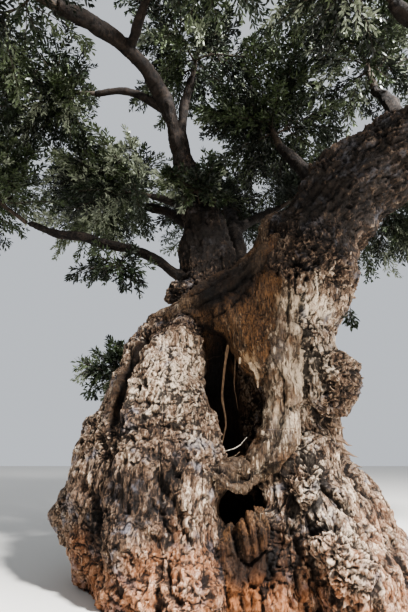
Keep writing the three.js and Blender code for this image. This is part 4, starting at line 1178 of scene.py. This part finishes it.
# Shards of peeling bark on the right: pixel of the root, pixel of the tip, depth, and radius.
barkShards = [[(330, 424), (345, 428), -0.3, 0.030], [(334, 436), (352, 446), -0.35, 0.034],
              [(336, 448), (358, 457), -0.3, 0.030], [(342, 460), (362, 468), -0.32, 0.026],
              [(338, 430), (341, 417), -0.2, 0.022], [(348, 470), (366, 474), -0.35, 0.026]]
shardTaper = (1, 0.95, 0.75, 0.5, 0.28, 0.06)
# Size and strength of the small pieces' bends, and their look.
smallBends = {"twig": (0.008, 0.05), "uneven": (0.35, 0.03), "shard": (0.012, 0.06)}
smallLook = {
    "grain": (0.012, 4, 0.65, (1.5, 1.5, 0.3)), "ramp": (0.35, 0.62, 0, 1), "dark": 0.35, "roughness": 0.8,
    "bump": (0.7, 0.004), "smoothAngle": math.radians(50), "shardColour": 0x8d7560,
}


def pixelPlace(u, v, depth):
    ray = np.array(pixelRay(u, v))
    eye = np.array(view["eye"])
    return eye + ray * (depth - eye[1]) / ray[1]


def plainWood(name, colour):
    n = Nodes(name)
    grain = n.noise(*smallLook["grain"])
    dark = shaded(linear(colour), smallLook["dark"])
    n.link(n.mix(n.ramp(grain, smallLook["ramp"]), dark, linear(colour)), n.shader.inputs["Base Color"])
    n.shader.inputs["Roughness"].default_value = smallLook["roughness"]
    n.link(n.bump(grain, *smallLook["bump"]), n.shader.inputs["Normal"])
    return n.material


def smoothPath(path, points=14):
    # Runs through the given places in gentle bends.
    places = np.linspace(0, len(path) - 1, points)
    return np.stack([np.interp(places, np.arange(len(path)), path[:, axis]) for axis in range(3)], 1)


def finishSmall(piece):
    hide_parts("trunk")
    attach(piece, "root")
    selectOnly(piece)
    bpy.ops.object.shade_smooth_by_angle(angle=smallLook["smoothAngle"])


for name, (pixels, depth, radii, colour) in smallWood.items():
    path = smoothPath(np.array([pixelPlace(u, v, depth) for u, v in pixels]))
    path += smallBends["twig"][0] * softBend(path, smallBends["twig"][1], (81, 82, 83))
    uneven = smallBends["uneven"][0] * softNoise(path, smallBends["uneven"][1], 84)
    taper = np.linspace(*radii, len(path)) * (1 + uneven)
    piece = trianglePiece(name, *tubes(path[None], taper[None], 6))
    piece.data.materials.append(plainWood(name, colour))
    finishSmall(piece)
shardPaths, shardRadii = [], []
for root, tip, depth, radius in barkShards:
    start, end = pixelPlace(*root, depth), pixelPlace(*tip, depth)
    path = start + (end - start) * np.linspace(0, 1, len(shardTaper))[:, None]
    path += smallBends["shard"][0] * softBend(path, smallBends["shard"][1], (85, 86, 87))
    shardPaths.append(path)
    shardRadii.append(radius * np.array(shardTaper))
shards = trianglePiece("bark_shards", *tubes(np.array(shardPaths), np.array(shardRadii), 5))
shards.data.materials.append(plainWood("shard_bark", smallLook["shardColour"]))
finishSmall(shards)
report("small pieces made")


# Foliage. Every mass grows from its bough by the same seeded rule as in the plain solids, and goes on
# from there to fine shoots and leaves.
masses = {
    "left_front_foliage": {"parent": "left_arch_bough", "centre": [-2300, -1500, 5550],
                           "radii": [1350, 1300, 1000]},
    "left_upper_foliage": {"parent": "left_side_bough", "centre": [-2450, 450, 6000],
                           "radii": [1350, 1250, 1000]},
    "left_low_foliage": {"parent": "left_low_bough", "centre": [-3000, 200, 4250],
                         "radii": [1250, 1200, 850]},
    "left_inner_foliage": {"parent": "left_inner_bough", "centre": [-1350, 900, 4700],
                           "radii": [950, 950, 750]},
    "left_hanging_foliage": {"parent": "left_low_bough", "at": 0.42, "centre": [-1050, 330, 3200],
                             "radii": [560, 460, 380], "sprays": 9, "scale": 0.45},
    "left_sucker_foliage": {"parent": "trunk", "root": [-650, 700, 1600], "centre": [-1150, 900, 2050],
                            "radii": [450, 400, 420], "sprays": 9, "scale": 0.42},
    "leader_shoots": {"parent": "leader", "root": [-20, 600, 4080], "centre": [-120, 180, 4330],
                      "radii": [500, 400, 460], "sprays": 9, "scale": 0.42},
    "top_foliage": {"parent": "top_bough", "centre": [-80, 450, 7000], "radii": [1500, 1450, 900]},
    "front_foliage": {"parent": "front_bough", "centre": [200, -2100, 6000], "radii": [1400, 1300, 950]},
    "centre_foliage": {"parent": "centre_bough", "centre": [950, 380, 5600], "radii": [1100, 1050, 950]},
    "right_middle_foliage": {"parent": "right_middle_bough", "centre": [1550, -1400, 5950],
                             "radii": [1050, 950, 850]},
    "back_foliage": {"parent": "back_bough", "centre": [250, 2500, 5500], "radii": [1350, 1300, 1050]},
    "back_left_foliage": {"parent": "back_left_bough", "centre": [-2000, 2150, 5350],
                          "radii": [1400, 1300, 1100]},
    "back_right_foliage": {"parent": "back_right_bough", "centre": [1950, 2650, 6000],
                           "radii": [1250, 1200, 950]},
    "right_back_foliage": {"parent": "right_back_bough", "centre": [3100, 1800, 4850],
                           "radii": [1300, 1250, 1000]},
    "right_top_foliage": {"parent": "right_top_bough", "centre": [2300, 150, 6550],
                          "radii": [1450, 1350, 1050]},
    "right_front_foliage": {"parent": "right_front_bough", "centre": [2900, -2450, 5250],
                            "radii": [1350, 1200, 950]},
    "right_outer_foliage": {"parent": "right_outer_bough", "centre": [4200, -400, 5550],
                            "radii": [1250, 1400, 1050]},
}

growth = {
    "sprayLength": 0.93, "sprayWidth": 0.38, "sprayPlaces": [0.45, 0.72, 0.97],
    "spraySpread": [1.1, 0.9, 0.25], "spraySizes": [1, 0.8, 0.62], "attempts": 6, "room": 0.55,
    "roomPlaces": [0.4, 0.7, 1], "halfWidth": 0.3, "outwardPull": 0.35, "overshoot": 0.35, "sunk": 0.02,
    "reachLow": 0.3, "reachHigh": 0.5, "turnJitter": 0.8, "forward": 0.3, "firstFork": 0.25,
    "lastFork": 0.95, "usualSprays": 24, "firstSeed": 100, "checks": 5, "twigTestFrom": 0.3,
    "sprayTestFrom": 0.25, "spaceMargin": 0.04, "limbMargin": 0.045, "twigTip": 0.015, "chainSteps": 6,
}
goldenAngle = math.pi * (3 - math.sqrt(5))
massCentres = np.array([mass["centre"] for mass in masses.values()]) * mm
massRadii = np.array([mass["radii"] for mass in masses.values()]) * mm
massNames = list(masses)
limbChains = [strands[name] for name in (*trunkStrands, "rightLimb", "leader")]
limbChains += [boughChain(bough, growth["chainSteps"]) for bough in boughs.values()]
limbStretches = np.array([[*a, *b] for chain in limbChains for a, b in zip(chain, chain[1:])])


def seededRandom(seed):
    state = seed

    def draw():
        nonlocal state
        state = (state + 0x6d2b79f5) & 0xffffffff
        t = (state ^ state >> 15) * (state | 1) & 0xffffffff
        t ^= t + ((t ^ t >> 7) * (t | 61) & 0xffffffff) & 0xffffffff
        return (t ^ t >> 14) / 4294967296
    return draw


def limbGap(points):
    # Distance from each point to the nearest limb's skin.
    a, b = limbStretches[:, :4], limbStretches[:, 4:]
    edge = b[:, :3] - a[:, :3]
    offset = points[:, None] - a[None, :, :3]
    t = np.clip(np.sum(offset * edge, 2) / np.sum(edge * edge, 1), 0, 1)
    distance = np.linalg.norm(offset - t[..., None] * edge, axis=2) - a[:, 3] - t * (b[:, 3] - a[:, 3])
    return distance.min(1)


def ownsPoints(index, points, edge=1.0, margin=growth["spaceMargin"]):
    depth = np.linalg.norm((points[:, None] - massCentres) / massRadii, axis=2)
    others = np.delete(depth, index, 1)
    return (depth[:, index] <= edge) & np.all(others > depth[:, index, None] + margin, 1)


def segmentFits(index, start, end, radius, testFrom):
    shares = testFrom + (1 - testFrom) * np.arange(growth["checks"] + 1) / growth["checks"]
    points = start + (end - start) * shares[:, None]
    return bool(np.all(ownsPoints(index, points)) and np.all(limbGap(points) > radius + growth["limbMargin"]))


def sideOf(tangent):
    helper = np.array([1.0, 0, 0]) if abs(tangent[2]) > 0.9 else np.array([0, 0, 1.0])
    return unit(np.cross(helper, tangent))


def crowded(start, end, sprays, gap):
    for share in growth["roomPlaces"]:
        point = start + (end - start) * share
        for spray in sprays:
            edge = spray["tip"] - spray["place"]
            t = np.clip((point - spray["place"]) @ edge / (edge @ edge), 0, 1)
            if np.linalg.norm(spray["place"] + edge * t - point) < gap:
                return True
    return False


def growMass(index, mass, root):
    rule = growth
    random = seededRandom(rule["firstSeed"] + index)
    scale = mass.get("scale", 1)
    twigCount = round(mass.get("sprays", rule["usualSprays"]) / len(rule["sprayPlaces"]))
    centre = np.array(mass["centre"]) * mm
    radii = np.array(mass["radii"]) * mm
    stemEnd = centre + (centre - root) * rule["overshoot"]
    stemAxis = stemEnd - root
    twigs, sprays = [], []
    for k in range(twigCount):
        height = 1 - 2 * (k + 0.5) / twigCount
        turn = k * goldenAngle + random() * rule["turnJitter"]
        around = math.sqrt(1 - height * height)
        outward = np.array([around * math.cos(turn), around * math.sin(turn), height])
        reach = rule["reachLow"] + (rule["reachHigh"] - rule["reachLow"]) * random()
        target = centre + outward * radii * reach
        along = (target - root) @ stemAxis / (stemAxis @ stemAxis)
        fork = min(rule["lastFork"], max(rule["firstFork"], along - rule["forward"]))
        start = root + stemAxis * fork
        if not segmentFits(index, start, target, rule["twigTip"], rule["twigTestFrom"]):
            continue
        twigAxis = unit(target - start)
        side = sideOf(twigAxis)
        twigs.append({"fork": fork, "target": target})
        for share, spread in zip(rule["sprayPlaces"], rule["spraySpread"]):
            place = start + (target - start) * share
            for _ in range(rule["attempts"]):
                angle = random() * math.pi * 2
                across = side * math.cos(angle) + np.cross(twigAxis, side) * math.sin(angle)
                random()
                random()
                direction = unit(twigAxis + across * spread + outward * rule["outwardPull"])
                found = None
                for size in rule["spraySizes"]:
                    tip = place + direction * rule["sprayLength"] * scale * size
                    width = rule["sprayWidth"] * scale * size
                    if (segmentFits(index, place, tip, width * rule["halfWidth"], rule["sprayTestFrom"])
                            and not crowded(place, tip, sprays, width * rule["room"])):
                        found = {"twig": len(twigs) - 1, "share": share, "place": place, "tip": tip,
                                 "size": scale * size}
                        break
                if found:
                    sprays.append(found)
                    break
    return stemEnd, twigs, sprays


# Finer growth that the plain solids leave out.
fineGrowth = {
    "stemTip": 0.012, "stemRoot": 0.75,  # share of the bough's tip
    "twigRadii": (0.017, 0.007), "sprayRadii": (0.0065, 0.0028), "shootRadii": (0.0026, 0.0010),
    "bow": 0.07, "arch": 0.06,  # how far a twig swings aside and upward, by its length
    "extraSprays": (0.25, 0.42, 0.6, 0.8, 1.0), "extraLength": 0.72,
    "shoots": 17, "shootLength": 0.34, "shootsOnTwig": 5,
    "fullness": {"centre_foliage": 1.35, "back_foliage": 1.2, "back_right_foliage": 1.15, "top_foliage": 1.1,
                 "left_inner_foliage": 1.25, "left_upper_foliage": 1.1, "leader_shoots": 1.6,
                 "back_left_foliage": 1.05, "left_low_foliage": 1.0, "right_back_foliage": 1.0,
                 "left_hanging_foliage": 1.1, "left_sucker_foliage": 1.0},
    "usualFullness": 0.8,
    "shootLean": (1.05, 0.45),  # radians at the foot and at the tip of a spray
    "shootPlaces": (0.2, 0.8), "shootTurn": 0.4, "shootLeans": (0.75, 1.2), "shootShorter": (1.05, 0.45),
    "shootLengths": (0.65, 1.15), "endShoot": (0.99, 0.45),  # place and length of the last one
    "twigShootSize": 0.8, "twigShootsFrom": 0.35,
    "droop": 0.16,
    "leafStep": 0.033, "leafLength": 0.096, "leafWidth": 0.0245, "leafLean": 0.75,
    "leafBend": 0.12, "roll": 0.55,
    "firstLeaf": 0.16, "leafTurn": 0.35, "leafLeans": (0.6, 1.3), "endLean": 0.1, "leafDrop": 0.12,
    "leafLengths": (0.7, 1.12), "leafShorter": 0.25, "leafWidths": (0.85, 1.15), "leafBends": (-0.6, 1.4),
    "pastMass": 1.12, "pastBox": 0.06, "limbGap": 0.03,  # how far the ends of shoots may go
    "seed": 20,
}
# Outline of a leaf: place along it, place across it, and how far it bends there.
leafOutline = [(0, 0, 0), (0.34, 0.9, 0.5), (0.7, 0.82, 0.6), (1, 0, -0.4), (0.7, -0.82, 0.6),
               (0.34, -0.9, 0.5)]
# A loose twig that hangs from the limb: pixels on the picture, their depth, and its radii.
hangingTwig = {
    "path": [(341, 262), (347, 285), (350, 305), (351, 318)], "depth": -0.35, "radii": (0.005, 0.0018),
    "shoots": 7, "shootSize": 0.42, "shootsFrom": 0.72, "tone": 1,
}
# The tones are darkened as painted shade of the crown: the darker ones, likelier inside, paint its deeper
# shade, and the lighter ones on the left its lit leaves, along with the real silvery undersides.
leafTones = {  # colour, then share of the sprays inside the crown and on its light left side
    "leaves_dark": (0x141a0f, 0.26, 0.12), "leaves_deep": (0x1e2717, 0.26, 0.18),
    "leaves_mid": (0x2f3921, 0.22, 0.22), "leaves_grey": (0x4b543c, 0.15, 0.25),
    "leaves_silver": (0x7d8370, 0.11, 0.23),
}


def swungPath(start, end, chance, steps, rule):
    # A gently swinging line from start to end.
    length = np.linalg.norm(end - start)
    axis = (end - start) / length
    side = sideOf(axis)
    angle = chance.uniform(0, 2 * math.pi)
    across = side * math.cos(angle) + np.cross(axis, side) * math.sin(angle)
    t = np.linspace(0, 1, steps + 1)[:, None]
    swing = np.sin(math.pi * t) * chance.uniform(0.4, 1)
    swing = swing + 0.4 * np.sin(2 * math.pi * t) * chance.uniform(-1, 1)
    path = start + (end - start) * t + across * swing * length * rule["bow"]
    path[:, 2] += np.sin(math.pi * t[:, 0]) * length * rule["arch"]
    return path


def onPath(path, share):
    place = share * (len(path) - 1)
    k = min(int(place), len(path) - 2)
    return path[k] + (path[k + 1] - path[k]) * (place - k)


def growShoots(axis, count, size, chance, rule, firstPlace=0.1):
    # Fine shoots that leave an axis all round: root, direction and length of each.
    shoots = []
    turn = chance.uniform(0, 2 * math.pi)
    for i in range(count):
        t = firstPlace + (1 - firstPlace) * (i + chance.uniform(*rule["shootPlaces"])) / count
        root = onPath(axis, t)
        forward = unit(onPath(axis, min(t + 0.05, 1)) - onPath(axis, min(t + 0.05, 1) - 0.1))
        side = sideOf(forward)
        turn += goldenAngle + chance.uniform(-rule["shootTurn"], rule["shootTurn"])
        across = side * math.cos(turn) + np.cross(forward, side) * math.sin(turn)
        lean = rule["shootLean"][0] + (rule["shootLean"][1] - rule["shootLean"][0]) * t
        lean *= chance.uniform(*rule["shootLeans"])
        shorter = rule["shootShorter"][0] - rule["shootShorter"][1] * t
        length = rule["shootLength"] * size * shorter * chance.uniform(*rule["shootLengths"])
        shoots.append((root, forward * math.cos(lean) + across * math.sin(lean), length))
    place, length = rule["endShoot"]
    shoots.append((onPath(axis, place), unit(axis[-1] - axis[-2]), rule["shootLength"] * size * length))
    return shoots


def extraSpray(index, twig, place, number, scale, chance, rule):
    # One more spray on a twig, leaning away from the middle of the mass, where its space is free.
    start = onPath(twig, place)
    forward = unit(twig[-1] - twig[0])
    outward = unit((start - massCentres[index]) / massRadii[index])
    for _ in range(3):
        way = unit(forward * 0.4 + outward * 0.6 + chance.normal(0, 0.65, 3))
        length = rule["extraLength"] * scale * chance.uniform(0.7, 1.15)
        points = start + way * length * np.array([[0.5], [0.8], [1.0]])
        if np.all(ownsPoints(index, points, 1.05, 0.0)) and np.all(limbGap(points) > 0.08):
            return {"twig": number, "share": place, "tip": points[-1], "size": scale * length / 0.93}
    return None


def spraysTone(place, chance):
    # Number of the tone that a spray gets: lighter ones, painted as lit leaves, are likelier on the left;
    # elsewhere darker ones paint the crown's shade.
    light = float(np.clip((-0.3 - place[0]) / 2, 0, 1))
    shares = np.array([inner * (1 - light) + outer * light for _, inner, outer in leafTones.values()])
    return chance.choice(len(shares), p=shares / shares.sum())


def growFoliage(rule):
    chance = np.random.default_rng(rule["seed"])
    parts = {"stems": [], "twigs": [], "sprays": []}
    shoots = []  # root, direction, length, tone, mass
    sprayNumber = 0
    for index, (name, mass) in enumerate(masses.items()):
        if "root" in mass:
            root = np.array(mass["root"]) * mm
            rootRadius = 0.03
        else:
            bough = boughs[mass["parent"]]
            root = boughCurve(bough["path"], mass.get("at", 1)) * mm
            rootRadius = bough["radii"][1] * mm if "at" not in mass else 0.03
        centre = massCentres[index]
        root = root - unit(centre - root) * growth["sunk"]
        scale = mass.get("scale", 1)
        fullness = rule["fullness"].get(name, rule["usualFullness"])
        stemEnd, twigs, sprays = growMass(index, mass, root)
        stem = swungPath(root, stemEnd, chance, 12, rule)
        stemRoot = rootRadius * (rule["stemRoot"] if scale == 1 else 0.5)
        parts["stems"].append((stem, np.linspace(stemRoot, rule["stemTip"] * scale, 13)))
        paths = []
        for twig in twigs:
            path = swungPath(onPath(stem, twig["fork"]), twig["target"], chance, 8, rule)
            paths.append(path)
            parts["twigs"].append((path, np.linspace(*rule["twigRadii"], 9) * (0.4 + 0.6 * scale)))
            tone = spraysTone(twig["target"], chance)
            count, size = round(rule["shootsOnTwig"] * scale), rule["twigShootSize"] * scale ** 0.5
            for shoot in growShoots(path, count, size, chance, rule, rule["twigShootsFrom"]):
                shoots.append((*shoot, tone, index))
            for place in rule["extraSprays"] * (1 if scale == 1 else 2):
                sprays.append(extraSpray(index, path, place, len(paths) - 1, scale, chance, rule))
        for spray in filter(None, sprays):
            path = swungPath(onPath(paths[spray["twig"]], spray["share"]), spray["tip"], chance, 8, rule)
            parts["sprays"].append((path, np.linspace(*rule["sprayRadii"], 9)))
            size = spray["size"] ** 0.5
            tone = spraysTone(spray["tip"], chance)
            count = max(5, round(rule["shoots"] * spray["size"] * fullness))
            for shoot in growShoots(path, count, size, chance, rule):
                shoots.append((*shoot, tone, index))
            sprayNumber += 1
    twig = hangingTwig
    path = np.array([pixelPlace(u, v, twig["depth"]) for u, v in twig["path"]])
    path = np.stack([np.interp(np.linspace(0, 3, 9), np.arange(4), path[:, axis]) for axis in range(3)], 1)
    parts["sprays"].append((path, np.linspace(*twig["radii"], 9)))
    for shoot in growShoots(path, twig["shoots"], twig["shootSize"], chance, rule, twig["shootsFrom"]):
        shoots.append((*shoot, twig["tone"], -1))
    print(f"{sprayNumber} sprays, {len(shoots)} shoots")
    return parts, shoots, chance


def keepInside(shoots, rule):
    # Leaves out shoots that would leave their mass's space, the frame's box or touch a limb.
    roots = np.array([shoot[0] for shoot in shoots])
    ends = roots + np.array([shoot[1] * shoot[2] for shoot in shoots])
    index = np.array([shoot[4] for shoot in shoots])
    depth = np.linalg.norm((ends - massCentres[index]) / massRadii[index], axis=1)
    low, high = np.array(cadBox[0]) - rule["pastBox"], np.array(cadBox[1]) + rule["pastBox"]
    kept = ((depth < rule["pastMass"]) | (index < 0)) & (limbGap(ends) > rule["limbGap"])
    kept &= np.all((ends > low) & (ends < high), 1)
    return [shoot for shoot, keep in zip(shoots, kept) if keep]


def growLeaves(shoots, chance, rule):
    # Opposite leaves along every shoot: their outlines' points, and the tone of each.
    points, tones = [], []
    for root, direction, length, tone, _ in shoots:
        pairs = max(3, round(length / rule["leafStep"]))
        t = np.repeat(np.linspace(rule["firstLeaf"], 1, pairs), 2)
        t = np.append(t, 1.0)
        count = len(t)
        sign = np.where(np.arange(count) % 2, 1.0, -1.0)
        turned = np.where(np.arange(count) // 2 % 2, math.pi / 2, 0)
        turned = turned + chance.uniform(-rule["leafTurn"], rule["leafTurn"], count)
        side = sideOf(direction)
        other = np.cross(direction, side)
        across = (side * np.cos(turned)[:, None] + other * np.sin(turned)[:, None]) * sign[:, None]
        place = root + direction * (length * t)[:, None]
        place[:, 2] -= rule["droop"] * length * t ** 2
        lean = rule["leafLean"] * chance.uniform(*rule["leafLeans"], count)
        lean[-1] = rule["endLean"]
        way = direction * np.cos(lean)[:, None] + across * np.sin(lean)[:, None]
        way[:, 2] -= rule["leafDrop"]
        way = unit(way)
        upward = chance.normal(0, rule["roll"], (count, 3)) + (0, 0, 1)
        wide = unit(np.cross(way, upward))
        face = np.cross(wide, way)
        long = rule["leafLength"] * chance.uniform(*rule["leafLengths"], count)
        long *= 1 - rule["leafShorter"] * t ** 3
        half = rule["leafWidth"] / 2 * chance.uniform(*rule["leafWidths"], count)
        bend = rule["leafBend"] * long * chance.uniform(*rule["leafBends"], count)
        leaf = np.stack([place + way * (long * along)[:, None] + wide * (half * out)[:, None]
                         + face * (bend * rise)[:, None] for along, out, rise in leafOutline], 1)
        points.append(leaf)
        tones.append(np.full(count, tone))
    return np.concatenate(points), np.concatenate(tones)


def twigMaterial():
    n = Nodes("twig_bark")
    tone = n.noise(0.02, 4, 0.6)
    n.link(n.mix(n.ramp(tone, (0.35, 0.65, 0, 1)), 0x1f1914, 0x463a2e), n.shader.inputs["Base Color"])
    n.shader.inputs["Roughness"].default_value = 0.85
    n.link(n.bump(tone, 0.5, 0.002), n.shader.inputs["Normal"])
    return n.material


leafShades = (0.72, 1.35)


def leafMaterial(name, colour):
    # The colour hardly changes within a tone; each tone belongs to whole sprays.
    n = Nodes(name)
    tone = n.noise(0.05, 2, 0.5)
    base = linear(colour)
    dark, light = [shaded(base, factor) for factor in leafShades]
    n.link(n.mix(n.ramp(tone, (0.35, 0.65, 0, 1)), dark, light), n.shader.inputs["Base Color"])
    n.link(n.ramp(n.noise(0.03, 2), (0.3, 0.7, 0.34, 0.55)), n.shader.inputs["Roughness"])
    return n.material


parts, shoots, chance = growFoliage(fineGrowth)
shoots = keepInside(shoots, fineGrowth)
fineParts = []
for kind, sides in (("stems", 7), ("twigs", 5), ("sprays", 4)):
    paths, radii = zip(*parts[kind])
    fineParts.append(tubes(np.array(paths), np.array(radii), sides))
along = np.linspace(0, 1, 3)[None, :, None]
roots = np.array([shoot[0] for shoot in shoots])[:, None]
reaches = np.array([shoot[1] * shoot[2] for shoot in shoots])[:, None]
shootPaths = roots + reaches * along
shootPaths[:, :, 2] -= fineGrowth["droop"] * np.linalg.norm(reaches, axis=2) * along[:, :, 0] ** 2
shootRadii = np.tile(np.linspace(*fineGrowth["shootRadii"], 3), (len(shoots), 1))
fineBark = twigMaterial()
for name, fineTubes in (("twigs", fineParts), ("shoots", [tubes(shootPaths, shootRadii, 3)])):
    piece = trianglePiece(name, *joinMeshes(fineTubes))
    piece.data.materials.append(fineBark)
    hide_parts(*massNames)
    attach(piece, "root")
    print(f"{name}: {len(piece.data.polygons)} faces")
leafPoints, leafTone = growLeaves(shoots, chance, fineGrowth)
leafFaces = np.array([(0, 1, 5), (5, 1, 2), (5, 2, 4), (4, 2, 3)])
for tone, (name, (colour, _, _)) in enumerate(leafTones.items()):
    own = leafPoints[leafTone == tone]
    faces = (leafFaces[None] + (np.arange(len(own)) * 6)[:, None, None]).reshape(-1, 3)
    piece = trianglePiece(name, own.reshape(-1, 3), faces)
    piece.data.materials.append(leafMaterial(name, colour))
    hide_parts(*massNames)
    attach(piece, "root")
    print(f"{name}: {len(faces)} faces")
report(f"foliage: {len(leafPoints)} leaves")


# Pale floor, soft sky and one broad sun.
stage = {"floorSize": 80, "floorColour": 0xd6d3cd, "sky": (0.80, 0.84, 0.90, 1), "skyStrength": 0.7,
         "sunPlace": (6.3, -7, 10.5), "sunAim": (0.2, 0, 1.8), "sunPower": 8000, "sunSize": 1.4}

bpy.ops.mesh.primitive_plane_add(size=stage["floorSize"], location=(0, 0, 0))
floor = bpy.context.object
floor.name = "floor"
floorNodes = Nodes("floor")
floorNodes.link(linear(stage["floorColour"]), floorNodes.shader.inputs["Base Color"])
floorNodes.shader.inputs["Roughness"].default_value = 0.9
floor.data.materials.append(floorNodes.material)
world = bpy.context.scene.world or bpy.data.worlds.new("world")
bpy.context.scene.world = world
world.use_nodes = True
world.node_tree.nodes["Background"].inputs["Color"].default_value = stage["sky"]
world.node_tree.nodes["Background"].inputs["Strength"].default_value = stage["skyStrength"]
sun = bpy.data.objects.new("sun", bpy.data.lights.new("sun", "AREA"))
sun.data.energy = stage["sunPower"]
sun.data.size = stage["sunSize"]
sun.location = stage["sunPlace"]
sun.rotation_euler = (Vector(stage["sunAim"]) - Vector(stage["sunPlace"])).to_track_quat("-Z", "Y").to_euler()
bpy.context.scene.collection.objects.link(sun)
bpy.context.scene.view_settings.look = "AgX - Medium High Contrast"

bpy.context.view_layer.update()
report("done")
